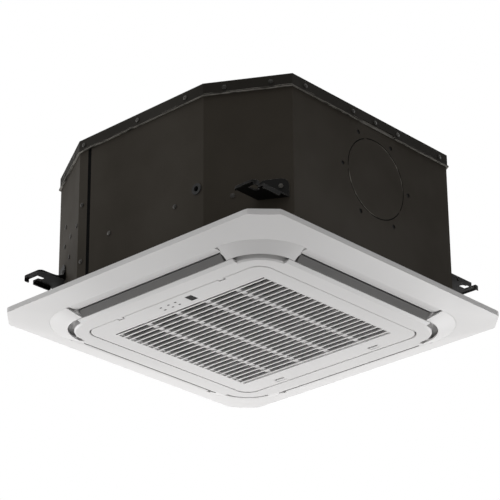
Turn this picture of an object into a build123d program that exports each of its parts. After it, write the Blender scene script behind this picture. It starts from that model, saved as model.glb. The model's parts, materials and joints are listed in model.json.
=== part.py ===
from build123d import *
from math import cos, hypot, radians, sin, tan
import os

# Ceiling cassette air conditioner, compact four-way size. Millimetres, +Z up.
# The origin is the middle of the unit in the plane of the finished ceiling: the casing stands
# above Z = 0 and the decorative panel hangs below it. -Y is the side with the signal receiver.

os.makedirs("parts", exist_ok=True)

# ---------------------------------------------------------------- casing
casing_size = 570.0  # across the flat walls
casing_top = 294.0
casing_bottom = 20.0
corner_cut_y = 77.0  # length that each cut corner takes off a side wall
cut_start = 18.0  # a cut corner starts this far inside the end of an air outlet
sheet = 1.2
foot_flange = 10.0  # inward return at the foot of the walls
rim_height = 24.0  # down-turned edge of the top cover
rim_sheet = 1.5
slip = 0.3  # gap between two sheets that lap
hem_proud = 2.0
hem_height = 2.6
bead_width = 26.0  # stiffening beads pressed into the top cover
bead_length = 190.0
bead_height = 3.0
bead_place = 165.0
bead_taper = 30.0

seam_gap = 4.5  # open joint between two wall sheets
front_seam = -126.5  # X of the joint in the front wall
left_seam = -182.5  # Y of the joint in the left wall
rear_seam = 126.5  # X of the joint in the rear wall
tongue = 22.0  # strip that carries on under the neighbouring sheet
joggle = 3.0

knockout_r = 75.0  # fresh-air knock-out in the right wall
knockout_y = 6.0
knockout_z = 172.7
knockout_slot = 2.0
knockout_tabs = 5
knockout_tab = 7.0
knockout_turn = 20.0  # degrees to the first tab
knockout_pcd = 175.0
knockout_bolt_r = 4.0
knockout_bolts = 6
knockout_bolt_turn = 30.0  # degrees to the first hole
notch_width = 100.0  # arch in the rim above the knock-out
notch_y = 14.0
notch_rise = 7.0
notch_slope = 60.0

grommet_x = 137.0  # cable entry in the front wall
grommet_z = 100.0
grommet_hole_r = 8.0
grommet_bore_r = 5.0
grommet_flange_r = 10.0
grommet_lip = 2.0
grommet_play = 1.0

# ---------------------------------------------------------------- fasteners
screw_shank_r = 1.7
screw_hole_r = 1.9
screw_head_r = 4.0
screw_head = 2.2
screw_length = 6.0
screw_dome = 0.6  # share of the head's height that is rounded
rim_screw_z = 282.0
side_rim_screws = (-177.0, -53.0, 6.0, 68.0, 186.0)
front_rim_screws = (-140.0, -5.0, 111.0)
cut_rim_screws = (-40.0, 40.0)
plate_screws = ((-24.0, 171.0), (-28.0, 134.0), (17.0, 134.0), (65.0, 133.0), (11.0, 97.0))
flange_screw_x = -143.0
flange_screw_z = (165.0, 56.0)
front_wall_screws = ((-73.0, 87.7), (86.0, 84.7))
cut_wall_screw = (-27.0, 76.7)

# ---------------------------------------------------------------- hanger brackets
hanger_z = 66.0  # top of the plate that the hanger nut pulls on
hanger_sheet = 2.5
hanger_out_x = 278.0
hanger_in_x = 232.0
hanger_out_y = 299.0
hanger_corner_r = 8.0
hanger_lip = 8.5
hanger_lip_start = 234.0
hanger_lip_r = 5.0
hanger_end_lip = 4.0
rod_slot_r = 5.5  # takes an M10 hanger rod
rod_x = 259.0
rod_y = 272.0
rod_slot_end = 286.0
rod_mouth = 11.5
hanger_flange_top = 98.0
hanger_flange_r = 14.0
hanger_web = 34.0  # reach of the curved web that stiffens the upright flange
hanger_screw_z = 84.0
hanger_screw_step = 13.0

# ---------------------------------------------------------------- insulation and air path
liner_thickness = 12.0
top_pad = 8.0
top_pad_hole_r = 104.0
pan_top = 62.0
outlet_in = 238.0  # the outlets' nearest and furthest distance from the middle
outlet_out = 268.0
outlet_half = 170.0  # half the length of each outlet in the drain pan
pan_slot_r = 8.0
pan_hole_r = 153.0
trough_in = 181.0
trough_out = 227.0
trough_depth = 18.0
sump_depth = 26.0
sump_near = 119.0
sump_far = 215.0
bell_mouth_r = 150.0
bell_throat_r = 116.0
bell_sheet = 2.0
bell_plate_half = 205.0
bell_plate_r = 16.0
bell_lip_z = 72.0
bell_throat_z = 62.0

# ---------------------------------------------------------------- heat exchanger
coil_out = 222.0
coil_in = 186.0
coil_out_r = 52.0
coil_in_r = 18.0
coil_end = 112.0  # where the coil stops on both sides of the pipe corner
end_plate = 1.5
tube_r = 4.0
feed_r = 3.0
tube_pitch = 24.0
tube_rows = 9
first_tube = 16.0
row_inset = 10.0
header_r = 8.0
header_x = -154.0
header_y = 206.0
header_z = (66.0, 240.0)
gas_r = 6.35
liquid_r = 3.175
gas_z = 190.0
liquid_z = 168.0
liquid_along = -1.0  # place along the cut corner, from its middle
liquid_depth = 30.0
liquid_x = -215.0  # the liquid pipe's straight run past the drain hose
liquid_turn_y = 190.0
pipe_proud = 55.0
pipe_fit = 0.25
liquid_bend = 20.0
pipe_bead = 1.5  # ring on a pipe that the flare nut pulls on
nut_setback = 13.0
gas_nut = 24.0
liquid_nut = 17.0
gas_nut_length = 22.0
liquid_nut_length = 16.0
pipe_plate_width = 118.0
pipe_plate_z = (128.0, 246.0)
pipe_window_width = 96.0
pipe_window_z = (138.0, 240.0)

# ---------------------------------------------------------------- drain
pump_x = -156.0
pump_y = 165.0
pump_width = 50.0
pump_depth = 40.0
pump_bottom = 64.0
pump_body_top = 110.0
pump_top = 138.0
pump_can_r = 17.0
volute_r = 18.0
volute_bottom = 40.0
pump_bracket_height = 28.0
hose_x = -196.0
hose_y = 165.0
hose_start = 86.0
hose_r = 9.0
hose_wall = 2.0
hose_z = 222.0
hose_bend = 14.0
spigot_r = 13.0
spigot_in = 14.0
spigot_proud = 34.0
spigot_flange_r = 19.0
spigot_flange = 3.0
float_x = -142.0
float_y = 130.0
float_stem_r = 3.0
float_r = 11.0
float_height = 14.0
float_collar_z = 37.5
float_collar = 2.5
float_arm_z = 68.0
tray_bottom = 26.5
tray_height = 10.0
tray_sheet = 1.2
tray_play = 0.5

# ---------------------------------------------------------------- fan
fan_r = 155.0
fan_eye_r = 122.0
fan_bottom = 67.0
fan_plate_z = 198.0
fan_sheet = 2.5
blade_count = 7
blade_in_r = 96.0
blade_out_r = 151.0
blade_sweep = 42.0  # degrees from a blade's inner end back to its outer end
blade_bow = 0.42  # share of that sweep at the middle of the blade
shroud_curve = ((3.0, 81.0), (18.0, 97.0))  # inner shroud: distance from the eye, Z
shroud_rim_z = 106.0
shroud_lean = (0.6, 0.8)  # direction of the shroud's thickness
blade_thick = 3.0
blade_bottom = 78.0
hub_r = 26.0
hub_drop = 20.0
insert_r = 11.0
shaft_r = 6.0
shaft_end = 5.0  # thread that shows past the fan nut
shaft_top = 270.0
running_fit = 0.05
fan_nut_flats = 19.0
fan_nut_height = 8.0
washer_r = 14.0
washer = 2.0
motor_r = 62.0
motor_bottom = 222.0
motor_top = 282.0
motor_boss_r = 19.0
motor_boss = 8.0
motor_edge = 9.0
motor_foot_r = 88.0
motor_foot_width = 22.0
motor_foot_z = 262.0
motor_foot = 4.0
motor_feet = 3
motor_turn = 90.0  # degrees to the first foot
mount_r = 11.0
motor_bolt_r = 3.0
motor_bolt_fit = 0.2
bolt_head_r = 5.5
bolt_head = 4.0
bolt_nut_flats = 10.0
bolt_nut = 5.0

# ---------------------------------------------------------------- control box
box_in = 151.0
box_out = 204.0
box_half = 108.0
box_bottom = -12.0
box_sheet = 1.0
cover_edge = 5.0
board_z = 6.0
board = 1.6
board_margin = 5.0
board_post_inset = 20.0
board_parts = (  # place along the board, width, depth and height
    (-25.0, 26.0, 22.0, 12.0),
    (12.0, 14.0, 14.0, 6.0),
    (38.0, 30.0, 16.0, 10.0),
    (74.0, 22.0, 24.0, 14.0),
)
terminal_ways = 6
terminal_pitch = 11.0
terminal_depth = 18.0
terminal_height = 13.0
terminal_y = -72.0

# ---------------------------------------------------------------- decorative panel
panel_size = 650.0
panel_corner_r = 48.0
panel_cut = 39.0  # flat taken off each rounded corner, measured along a side
panel_rim = 9.3
panel_wall = 2.5
foot_half = 282.0  # where the sloping border ends
foot_r = 97.0
foot_z = -19.3
face_z = -34.7
face_half = 243.0  # flat middle face
face_r = 61.0
lip_half = 251.0  # end of its rounded shoulder
lip_r = 69.0
lip_z = -31.4
lip_edge = 1.0
cover_lip_half = 251.4  # where the loose corner covers start
cover_lip_r = 69.4
cover_lip_z = -30.4
end_wall_gap = 0.6
lead_out = 264.0  # outer edge of each air outlet
duct_half = 240.0  # inner duct wall, outside
duct_r = 58.0
duct_top = 16.0
outlet_step = 2.0  # the panel's ducts run this much past the pan's outlets
cover_gap = 0.4
trough_reach = (242.0, 282.0)  # the outlets' slanted ends, nearest and furthest from the middle
trough_start = 2.5  # these start this far inside the end walls
trough_slant = 11.8
recess_in_r = 54.5  # finger recesses between the middle face and the corner covers
recess_dip = 2.1
recess_half_angle = 43.0
panel_bolt_at = 243.0
panel_bolt_r = 2.5
panel_bolt_top = 26.0
panel_bolt_head = 3.3
panel_bolt_head_r = 4.5
seal_width = 6.0
lug_width = 30.0
lug_reach = 20.0
lug_rise = 18.0
lug_sheet = 2.0
weld_nut_flats = 8.0
weld_nut = 4.0

# ---------------------------------------------------------------- vanes
vane_out = (262.4, -20.6)  # outer edge of the closed vane: distance from the middle, Z
vane_in = (253.8, -32.0)  # inner edge
vane_thick = 2.5
vane_gap = 3.5  # from each end of a vane to the wall beside it
vane_round = 0.3  # rounded share of the vane's thickness
vane_axis = 246.6
vane_axis_z = -20.5
vane_arm = 2.5
vane_pin_r = 2.0
vane_boss_r = 4.0
vane_web = (2.4, 3.2)  # where the arm runs into the boss, from the pin
vane_pin = 7.0
stepper_r = 6.2
stepper_length = 12.0
stepper_bore = 3.0

# ---------------------------------------------------------------- intake grille
opening_half = 211.8
opening_r = 26.0
opening_wall_top = -12.0
grille_half = 210.0
grille_r = 28.0
grille_face = 2.5
grille_skirt_top = -22.0
grille_edge_round = 1.8
slat_field_x = 177.0  # half sizes of the louvred field
slat_field_y = 166.5
slat_rows = 23
slat_columns = 5
slat_rib = 10.0
slat_rib_height = 9.0
slat_rib_inset = 2.6  # the ribs lie this much behind the louvres
slat_depth = 6.0
slat_tilt = 20.0
slat_width = 3.6
slat_tip = 2.0
hinge_y = -207.4
hinge_z = -32.4
hinge_pin_r = 1.2
hinge_lug_r = 2.2
hinge_x = 120.0
hinge_lug = 10.0
hinge_notch = 15.0
hinge_notch_depth = 6.0
latch_x = 113.0
latch_width = 23.0
latch_near = 190.5
latch_far = 202.0
latch_travel = 5.0
latch_tongue_width = 12.0
latch_tongue = 2.2
latch_reach = 214.6
latch_fit = 0.4
latch_flange = 2.0
latch_rail = 1.6
latch_bridge = 4.0
led_x = (-37.2, -18.9, -2.5)
led_y = (-193.5, -182.5)
led_width = 5.4
led_depth = 3.4
window_x = 30.8
window_y = -188.5
window_width = 15.6
window_depth = 19.0
lens_fit = 0.15
lens_step = 1.5
receiver_z = -28.0
board_posts = (-46.0, 46.0)
receiver_board = 1.6
filter_half_x = 186.0
filter_half_y = 172.0
filter_frame = 8.0
filter_thick = 3.0
filter_net = 0.8
filter_gaps_x = 18
filter_gaps_y = 16
filter_wire = 1.4
filter_seat = 0.3

casing_half = casing_size / 2
corner_cut_x = casing_half - outlet_half + cut_start  # taken off a front or rear wall
end_wall = outlet_half + outlet_step
lead_out_half = end_wall + outlet_step
vane_half = end_wall - vane_gap
trough_end = (trough_reach[0], end_wall - trough_start)
trough_far = (trough_reach[1], end_wall - trough_start + trough_slant)
cover_under = casing_top - rim_sheet
pad_bottom = cover_under - top_pad
coil_bottom = pan_top - trough_depth
tongue_z = face_z + grille_face + latch_fit
stepper_pocket = (
    duct_half,
    vane_axis + stepper_r + slip,
    end_wall,
    end_wall + panel_wall + stepper_length + slip,
)
cut_length = hypot(corner_cut_x, corner_cut_y)
cut_normal = (corner_cut_y / cut_length, corner_cut_x / cut_length)
cut_middle = (casing_half - corner_cut_x / 2, casing_half - corner_cut_y / 2)
corners = ((1, 1), (-1, 1), (-1, -1), (1, -1))
panel_bolt_places = [(x * panel_bolt_at, y * panel_bolt_at) for x, y in corners]
far_away = 2 * casing_size


def cut_edge_y(x):
    """Y of the cut corner's wall at this X, in the first quarter of the plan."""
    return casing_half - corner_cut_y + (casing_half - x) * corner_cut_y / corner_cut_x


def casing_outline(grow=0.0):
    """The casing's eight-sided plan, with each side moved outward by grow."""
    near_x, near_y = casing_half - corner_cut_x, casing_half - corner_cut_y
    quarter = [(casing_half, near_y), (near_x, casing_half)]
    points = quarter + [(-x, y) for x, y in reversed(quarter)]
    points += [(-x, -y) for x, y in quarter] + [(x, -y) for x, y in reversed(quarter)]
    with BuildSketch(mode=Mode.PRIVATE) as outline:
        Polygon(*points, align=None)
        if grow:
            offset(amount=grow, kind=Kind.INTERSECTION)
    return outline.sketch


def patch(x1, x2, y1, y2, mode=Mode.ADD):
    """A rectangle of the open sketch between two X and two Y values."""
    with Locations(((x1 + x2) / 2, (y1 + y2) / 2)):
        Rectangle(abs(x2 - x1), abs(y2 - y1), mode=mode)


def rounded(half, radius, mode=Mode.ADD):
    """A centred square of the open sketch with rounded corners."""
    RectangleRounded(2 * half, 2 * half, radius, mode=mode)


def cut_plane(corner, along=0.0, z=0.0):
    """Plane on the outside of a cut corner's wall: X along the wall, Y up, Z outward."""
    side_x, side_y = corner
    wall_dir = (cut_normal[1] * side_x, -cut_normal[0] * side_y)
    if side_x * side_y > 0:
        wall_dir = (-wall_dir[0], -wall_dir[1])
    foot = (
        cut_middle[0] * side_x + wall_dir[0] * along,
        cut_middle[1] * side_y + wall_dir[1] * along,
        z,
    )
    normal = (cut_normal[0] * side_x, cut_normal[1] * side_y, 0)
    return Plane(origin=foot, x_dir=(*wall_dir, 0), z_dir=normal)


def turned(angle):
    """The four sides of the unit are alike: this turns a piece made on the right-hand side."""
    return Location((0, 0, 0), (0, 0, angle))


# ================================================================ screws' places
def rim_screw_planes():
    """Planes on the rim's outside, one for each screw of the top cover."""
    out = casing_half + slip + rim_sheet
    planes = []
    for side in (1, -1):
        for y in side_rim_screws:
            planes.append(Plane(origin=(side * out, y, rim_screw_z), z_dir=(side, 0, 0)))
        for x in front_rim_screws:
            planes.append(Plane(origin=(-side * x, side * out, rim_screw_z), z_dir=(0, side, 0)))
    for corner in corners:
        for along in cut_rim_screws:
            planes.append(cut_plane(corner, along, rim_screw_z).offset(slip + rim_sheet))
    return planes


def wall_screw_planes():
    """Planes on the walls' outside, one for each screw that shows below the rim."""
    planes = [cut_plane((-1, -1), along, z) for along, z in plate_screws]
    for z in flange_screw_z:
        planes.append(Plane(origin=(flange_screw_x, -casing_half, z), z_dir=(0, -1, 0)))
    for x, z in front_wall_screws:
        planes.append(Plane(origin=(x, -casing_half, z), z_dir=(0, -1, 0)))
    planes.append(cut_plane((1, -1), *cut_wall_screw))
    return planes


def hanger_screw_planes(corner):
    """Planes on the hanger bracket's upright flange, one for each of its two screws."""
    middle = (hanger_in_x + hanger_out_x) / 2
    along = (cut_middle[0] - middle) * cut_length / corner_cut_x
    side = 1 if corner[0] * corner[1] > 0 else -1
    return [
        cut_plane(corner, side * along + step, hanger_screw_z).offset(hanger_sheet)
        for step in (-hanger_screw_step, hanger_screw_step)
    ]


def pilot_holes(planes):
    """Screw holes through the open part, deep enough for two sheets and a bracket."""
    with Locations(*planes):
        Cylinder(screw_hole_r, 2 * screw_length, mode=Mode.SUBTRACT)


def lug_plane(corner):
    """Plane on the cut corner's wall level with the casing's foot, where a panel bolt goes up."""
    along = (panel_bolt_at - cut_middle[0]) * cut_normal[1]
    along -= (panel_bolt_at - cut_middle[1]) * cut_normal[0]
    side = -1 if corner[0] * corner[1] > 0 else 1
    return cut_plane(corner, side * along, casing_bottom)


pipe_corner = (-1, 1)
all_wall_screws = wall_screw_planes()
all_hanger_screws = [plane for corner in corners for plane in hanger_screw_planes(corner)]
wall_pilots = rim_screw_planes() + all_wall_screws + all_hanger_screws

# ================================================================ wall sheets
sheet_in = casing_half - sheet
tongue_out = sheet_in - slip
tongue_in = tongue_out - sheet


def wall_sheet(region, tongues):
    """One folded wall sheet: the part of the casing's walls inside a plan region, with its
    foot flange and the joggled tongues that run under the neighbouring sheet."""
    height = cover_under - slip - casing_bottom
    with BuildPart() as walls:
        with BuildSketch(Plane.XY.offset(casing_bottom)):
            add(casing_outline())
            add(casing_outline(-sheet), mode=Mode.SUBTRACT)
            Polygon(*region, align=None, mode=Mode.INTERSECT)
        extrude(amount=height)
        with BuildSketch(Plane.XY.offset(casing_bottom)):
            add(casing_outline(-sheet / 2))
            add(casing_outline(-foot_flange), mode=Mode.SUBTRACT)
            Polygon(*region, align=None, mode=Mode.INTERSECT)
        extrude(amount=sheet)
        if tongues:
            with BuildSketch(Plane.XY.offset(casing_bottom + sheet + slip)):
                for rectangle in tongues:
                    patch(*rectangle)
            extrude(amount=height - sheet - slip)
        pilot_holes(wall_pilots)
    return walls.part


front_edge = front_seam + seam_gap / 2
front_region = [
    (front_edge, -far_away),
    (far_away, -far_away),
    (far_away, far_away),
    (rear_seam + seam_gap / 2, far_away),
    (rear_seam + seam_gap / 2, 0),
    (front_edge, 0),
]
front_tongues = [
    (front_edge, front_edge + joggle, -casing_half, -tongue_in),
    (front_edge - tongue, front_edge + joggle, -tongue_out, -tongue_in),
]
with BuildPart() as wall_wrap_front:
    add(wall_sheet(front_region, front_tongues))
    with Locations(Plane(origin=(casing_half, knockout_y, knockout_z), z_dir=(1, 0, 0))):
        Cylinder(knockout_r, 4 * sheet, mode=Mode.SUBTRACT)
        with PolarLocations(knockout_pcd / 2, knockout_bolts, start_angle=knockout_bolt_turn):
            Cylinder(knockout_bolt_r, 4 * sheet, mode=Mode.SUBTRACT)
    with Locations(Plane(origin=(grommet_x, -casing_half, grommet_z), z_dir=(0, -1, 0))):
        Cylinder(grommet_hole_r, 4 * sheet, mode=Mode.SUBTRACT)
wall_wrap_front.part.label = "wall_wrap_front"
export_step(wall_wrap_front.part, "parts/wall_wrap_front.step")

rear_edge = rear_seam - seam_gap / 2
left_edge = left_seam + seam_gap / 2
rear_region = [
    (rear_edge, far_away),
    (-far_away, far_away),
    (-far_away, left_edge),
    (0, left_edge),
    (0, 0),
    (rear_edge, 0),
]
rear_tongues = [
    (rear_edge - joggle, rear_edge, casing_half, tongue_in),
    (rear_edge - joggle, rear_edge + tongue, tongue_out, tongue_in),
    (-casing_half, -tongue_in, left_edge, left_edge + joggle),
    (-tongue_out, -tongue_in, left_edge - tongue, left_edge + joggle),
]
with BuildPart() as wall_wrap_rear:
    add(wall_sheet(rear_region, rear_tongues))
    window_z = sum(pipe_window_z) / 2
    with Locations(cut_plane(pipe_corner, 0, window_z)):
        Box(pipe_window_width, pipe_window_z[1] - pipe_window_z[0], 4 * sheet, mode=Mode.SUBTRACT)
wall_wrap_rear.part.label = "wall_wrap_rear"
export_step(wall_wrap_rear.part, "parts/wall_wrap_rear.step")

corner_region = [
    (-far_away, -far_away),
    (front_seam - seam_gap / 2, -far_away),
    (front_seam - seam_gap / 2, -casing_half + corner_cut_y / 2),
    (-casing_half + corner_cut_x / 2, left_seam - seam_gap / 2),
    (-far_away, left_seam - seam_gap / 2),
]
with BuildPart() as corner_plate:
    add(wall_sheet(corner_region, []))
corner_plate.part.label = "corner_plate"
export_step(corner_plate.part, "parts/corner_plate.step")

# ================================================================ top cover
rim_out = slip + rim_sheet
with BuildPart() as top_cover:
    with BuildSketch(Plane.XY.offset(casing_top - rim_height)):
        add(casing_outline(rim_out))
    extrude(amount=rim_height)
    with BuildSketch(Plane.XY.offset(casing_top - rim_height)):
        add(casing_outline(rim_out + hem_proud))
    extrude(amount=hem_height)
    with BuildSketch(Plane.XY.offset(casing_top - rim_height)):
        add(casing_outline(slip))
    extrude(amount=rim_height - rim_sheet, mode=Mode.SUBTRACT)
    with BuildSketch(Plane.XY.offset(casing_top)):
        with PolarLocations(bead_place, 4):
            SlotOverall(bead_length, bead_width, rotation=90)
    extrude(amount=bead_height, taper=bead_taper)
    with BuildSketch(Plane.YZ.offset(casing_half)):
        with Locations((notch_y, casing_top - rim_height)):
            Trapezoid(notch_width, 2 * notch_rise, notch_slope)
    extrude(amount=rim_out + hem_proud, both=True, mode=Mode.SUBTRACT)
    pilot_holes(rim_screw_planes())
    with Locations(Location((0, 0, casing_top))):
        with PolarLocations(motor_foot_r, motor_feet, start_angle=motor_turn):
            Cylinder(motor_bolt_r + motor_bolt_fit, 4 * rim_sheet, mode=Mode.SUBTRACT)
top_cover.part.label = "top_cover"
export_step(top_cover.part, "parts/top_cover.step")

# ================================================================ screws
with BuildPart() as pan_screw:
    Cylinder(screw_head_r, screw_head, align=(Align.CENTER, Align.CENTER, Align.MIN))
    fillet(pan_screw.edges().group_by(Axis.Z)[-1], screw_head * screw_dome)
    Cylinder(screw_shank_r, screw_length, align=(Align.CENTER, Align.CENTER, Align.MAX))

with BuildPart() as rim_screws:
    with Locations(*rim_screw_planes()):
        add(pan_screw.part)
rim_screws.part.label = "rim_screws"
export_step(rim_screws.part, "parts/rim_screws.step")

with BuildPart() as wall_screws:
    with Locations(*all_wall_screws, *all_hanger_screws):
        add(pan_screw.part)
wall_screws.part.label = "wall_screws"
export_step(wall_screws.part, "parts/wall_screws.step")

# ================================================================ knock-out disc and cable grommet
with BuildPart() as knockout_disc:
    with BuildSketch(Plane(origin=(casing_half, knockout_y, knockout_z), z_dir=(1, 0, 0))):
        Circle(knockout_r - knockout_slot)
        with PolarLocations(knockout_r - knockout_slot, knockout_tabs, start_angle=knockout_turn):
            Rectangle(2 * knockout_slot, knockout_tab)
        Circle(knockout_r, mode=Mode.INTERSECT)
    extrude(amount=-sheet)
knockout_disc.part.label = "knockout_disc"
export_step(knockout_disc.part, "parts/knockout_disc.step")

with BuildPart() as cable_grommet:
    with BuildSketch(Plane(origin=(grommet_x, 0, grommet_z), x_dir=(1, 0, 0), z_dir=(0, 0, 1))):
        with BuildLine():
            Polyline(
                (grommet_bore_r, -casing_half - grommet_lip),
                (grommet_flange_r, -casing_half - grommet_lip),
                (grommet_flange_r, -casing_half),
                (grommet_hole_r, -casing_half),
                (grommet_hole_r, -casing_half + sheet),
                (grommet_flange_r, -casing_half + sheet),
                (grommet_flange_r, -casing_half + sheet + grommet_lip),
                (grommet_bore_r, -casing_half + sheet + grommet_lip),
                close=True,
            )
        make_face()
    revolve(axis=Axis((grommet_x, 0, grommet_z), (0, 1, 0)))
cable_grommet.part.label = "cable_grommet"
export_step(cable_grommet.part, "parts/cable_grommet.step")

# ================================================================ hanger brackets
flange_along = (cut_middle[0] - (hanger_in_x + hanger_out_x) / 2) * cut_length / corner_cut_x
bracket_plan = [
    (hanger_in_x, cut_edge_y(hanger_in_x)),
    (hanger_in_x, hanger_out_y),
    (hanger_out_x, hanger_out_y),
    (hanger_out_x, cut_edge_y(hanger_out_x)),
]


with BuildPart() as bracket:
    with BuildSketch(Plane.XY.offset(hanger_z - hanger_sheet)) as plate_plan:
        Polygon(*bracket_plan, align=None)
        fillet(plate_plan.vertices().group_by(Axis.Y)[-1], hanger_corner_r)
    extrude(amount=hanger_sheet)
    with BuildSketch(Plane.XY.offset(hanger_z - hanger_lip)) as lip_plan:
        Polygon(*bracket_plan, align=None)
        fillet(lip_plan.vertices().group_by(Axis.Y)[-1], hanger_corner_r)
        patch(hanger_out_x - hanger_sheet, far_away, hanger_lip_start, far_away, Mode.INTERSECT)
    extrude(amount=hanger_lip)
    lip_foot = bracket.edges().filter_by(Axis.X).group_by(Axis.Z)[0].group_by(Axis.Y)[0]
    fillet(lip_foot, hanger_lip_r)
    with BuildSketch(Plane.XY.offset(hanger_z - hanger_end_lip)) as end_plan:
        Polygon(*bracket_plan, align=None)
        fillet(end_plan.vertices().group_by(Axis.Y)[-1], hanger_corner_r)
        offset(amount=-hanger_sheet, mode=Mode.SUBTRACT)
        patch(0, far_away, hanger_out_y - hanger_corner_r, far_away, Mode.INTERSECT)
    extrude(amount=hanger_end_lip)
    with BuildSketch(Plane.XY.offset(hanger_z)):
        with Locations((rod_x, rod_y)):
            Circle(rod_slot_r)
        patch(rod_x - rod_slot_r, rod_x + rod_slot_r, rod_y, rod_slot_end)
        patch(rod_x, far_away, rod_slot_end - rod_mouth, rod_slot_end)
    extrude(amount=-2 * hanger_lip, mode=Mode.SUBTRACT)
    # upright flange on the wall, and the curved web beside it
    with BuildSketch(cut_plane((1, 1), flange_along)) as flange_plan:
        flange_half = (hanger_out_x - hanger_in_x) / 2 * cut_length / corner_cut_x
        patch(-flange_half, flange_half, hanger_z - hanger_sheet, hanger_flange_top)
        fillet(flange_plan.vertices().group_by(Axis.Y)[-1], hanger_flange_r)
    extrude(amount=hanger_sheet)
    web_foot = cut_edge_y(hanger_in_x)
    with BuildSketch(Plane.YZ.offset(hanger_in_x)):
        with BuildLine():
            web_top = (web_foot + hanger_sheet, hanger_flange_top - hanger_flange_r)
            web_end = (web_foot + hanger_web, hanger_z)
            Bezier(web_top, (web_top[0], hanger_z), web_end)
            Polyline(
                web_end,
                (web_end[0], hanger_z - hanger_sheet),
                (web_foot, hanger_z - hanger_sheet),
                (web_foot, web_top[1]),
                web_top,
            )
        make_face()
    extrude(amount=hanger_sheet)
    pilot_holes(hanger_screw_planes((1, 1)))

bracket_names = {
    (1, 1): "hanger_bracket_rear_right",
    (-1, 1): "hanger_bracket_rear_left",
    (-1, -1): "hanger_bracket_front_left",
    (1, -1): "hanger_bracket_front_right",
}
for corner, bracket_name in bracket_names.items():
    with BuildPart() as hanger_bracket:
        add(bracket.part)
        if corner[0] < 0:
            mirror(about=Plane.YZ, mode=Mode.REPLACE)
        if corner[1] < 0:
            mirror(about=Plane.XZ, mode=Mode.REPLACE)
    hanger_bracket.part.label = bracket_name
    export_step(hanger_bracket.part, f"parts/{bracket_name}.step")

# ================================================================ panel lugs
with BuildPart() as panel_lugs:
    for corner in corners:
        with Locations(lug_plane(corner)):
            Box(lug_width, lug_rise, lug_sheet, align=(Align.CENTER, Align.MIN, Align.MIN))
            Box(lug_width, lug_sheet, lug_reach, align=(Align.CENTER, Align.MIN, Align.MIN))
    with BuildSketch(Plane.XY.offset(casing_bottom + lug_sheet)):
        with Locations(panel_bolt_places):
            RegularPolygon(weld_nut_flats / 2, 6, major_radius=False)
    extrude(amount=weld_nut)
    with BuildSketch(Plane.XY.offset(casing_bottom)):
        with Locations(panel_bolt_places):
            Circle(panel_bolt_r + running_fit)
    extrude(amount=lug_sheet + weld_nut, mode=Mode.SUBTRACT)
panel_lugs.part.label = "panel_lugs"
export_step(panel_lugs.part, "parts/panel_lugs.step")

# ================================================================ pipe drip tray
pipe_x, pipe_y = pipe_corner
with BuildPart() as pipe_drip_tray:
    with BuildSketch(Plane.XY.offset(tray_bottom)) as tray_plan:
        Polygon(
            (pipe_x * casing_half, pipe_y * (casing_half - corner_cut_y)),
            (pipe_x * casing_half, pipe_y * casing_half),
            (pipe_x * (casing_half - corner_cut_x), pipe_y * casing_half),
            align=None,
        )
    extrude(amount=tray_height)
    with BuildSketch(Plane.XY.offset(tray_bottom + tray_sheet)):
        add(tray_plan.sketch)
        offset(amount=-tray_sheet, kind=Kind.INTERSECTION)
    extrude(amount=tray_height, mode=Mode.SUBTRACT)
    with Locations(lug_plane(pipe_corner)):
        notch_depth = 2 * (lug_sheet + slip)
        Box(lug_width + 2 * tray_play, 2 * (lug_rise + slip), notch_depth, mode=Mode.SUBTRACT)
pipe_drip_tray.part.label = "pipe_drip_tray"
export_step(pipe_drip_tray.part, "parts/pipe_drip_tray.step")

# ================================================================ foam
liner_out = 2 * (sheet + slip)
with BuildPart() as liner:
    with BuildSketch(Plane.XY.offset(pan_top)):
        add(casing_outline(-liner_out))
        add(casing_outline(-liner_out - liner_thickness), mode=Mode.SUBTRACT)
    extrude(amount=pad_bottom - pan_top)
    with Locations(Plane(origin=(casing_half, knockout_y, knockout_z), z_dir=(1, 0, 0))):
        Cylinder(knockout_r, 4 * liner_thickness, mode=Mode.SUBTRACT)
    with Locations(Plane(origin=(grommet_x, -casing_half, grommet_z), z_dir=(0, -1, 0))):
        Cylinder(grommet_flange_r + grommet_play, 4 * liner_thickness, mode=Mode.SUBTRACT)
    with Locations(cut_plane(pipe_corner, 0, sum(pipe_window_z) / 2)):
        window_height = pipe_window_z[1] - pipe_window_z[0]
        Box(pipe_window_width, window_height, 4 * liner_thickness, mode=Mode.SUBTRACT)
    pilot_holes(wall_pilots)
liner.part.label = "liner"
export_step(liner.part, "parts/liner.step")

with BuildPart() as top_insulation:
    with BuildSketch(Plane.XY.offset(pad_bottom)):
        add(casing_outline(-liner_out))
        Circle(top_pad_hole_r, mode=Mode.SUBTRACT)
    extrude(amount=top_pad)
top_insulation.part.label = "top_insulation"
export_step(top_insulation.part, "parts/top_insulation.step")

# ================================================================ drain pan
with BuildPart() as drain_pan:
    with BuildSketch(Plane.XY.offset(casing_bottom + sheet)):
        add(casing_outline(-liner_out))
    extrude(amount=pan_top - casing_bottom - sheet)
    with BuildSketch(Plane.XY.offset(casing_bottom)):
        add(casing_outline(-foot_flange - slip))
    extrude(amount=2 * sheet)
    with BuildSketch(Plane.XY.offset(casing_bottom)):
        Circle(pan_hole_r)
        for angle in range(0, 360, 90):
            with Locations(turned(angle)):
                with Locations(((outlet_in + outlet_out) / 2, 0)):
                    RectangleRounded(outlet_out - outlet_in, 2 * outlet_half, pan_slot_r)
    extrude(amount=pan_top, mode=Mode.SUBTRACT)
    with BuildSketch(Plane.XY.offset(coil_bottom)):
        rounded(trough_out, coil_out_r)
        rounded(trough_in, coil_in_r, Mode.SUBTRACT)
    extrude(amount=pan_top, mode=Mode.SUBTRACT)
    with BuildSketch(Plane.XY.offset(pan_top - sump_depth)):
        patch(-sump_far, -sump_near, sump_near, sump_far)
    extrude(amount=pan_top, mode=Mode.SUBTRACT)
    pilot_holes(wall_pilots)
drain_pan.part.label = "drain_pan"
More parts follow.
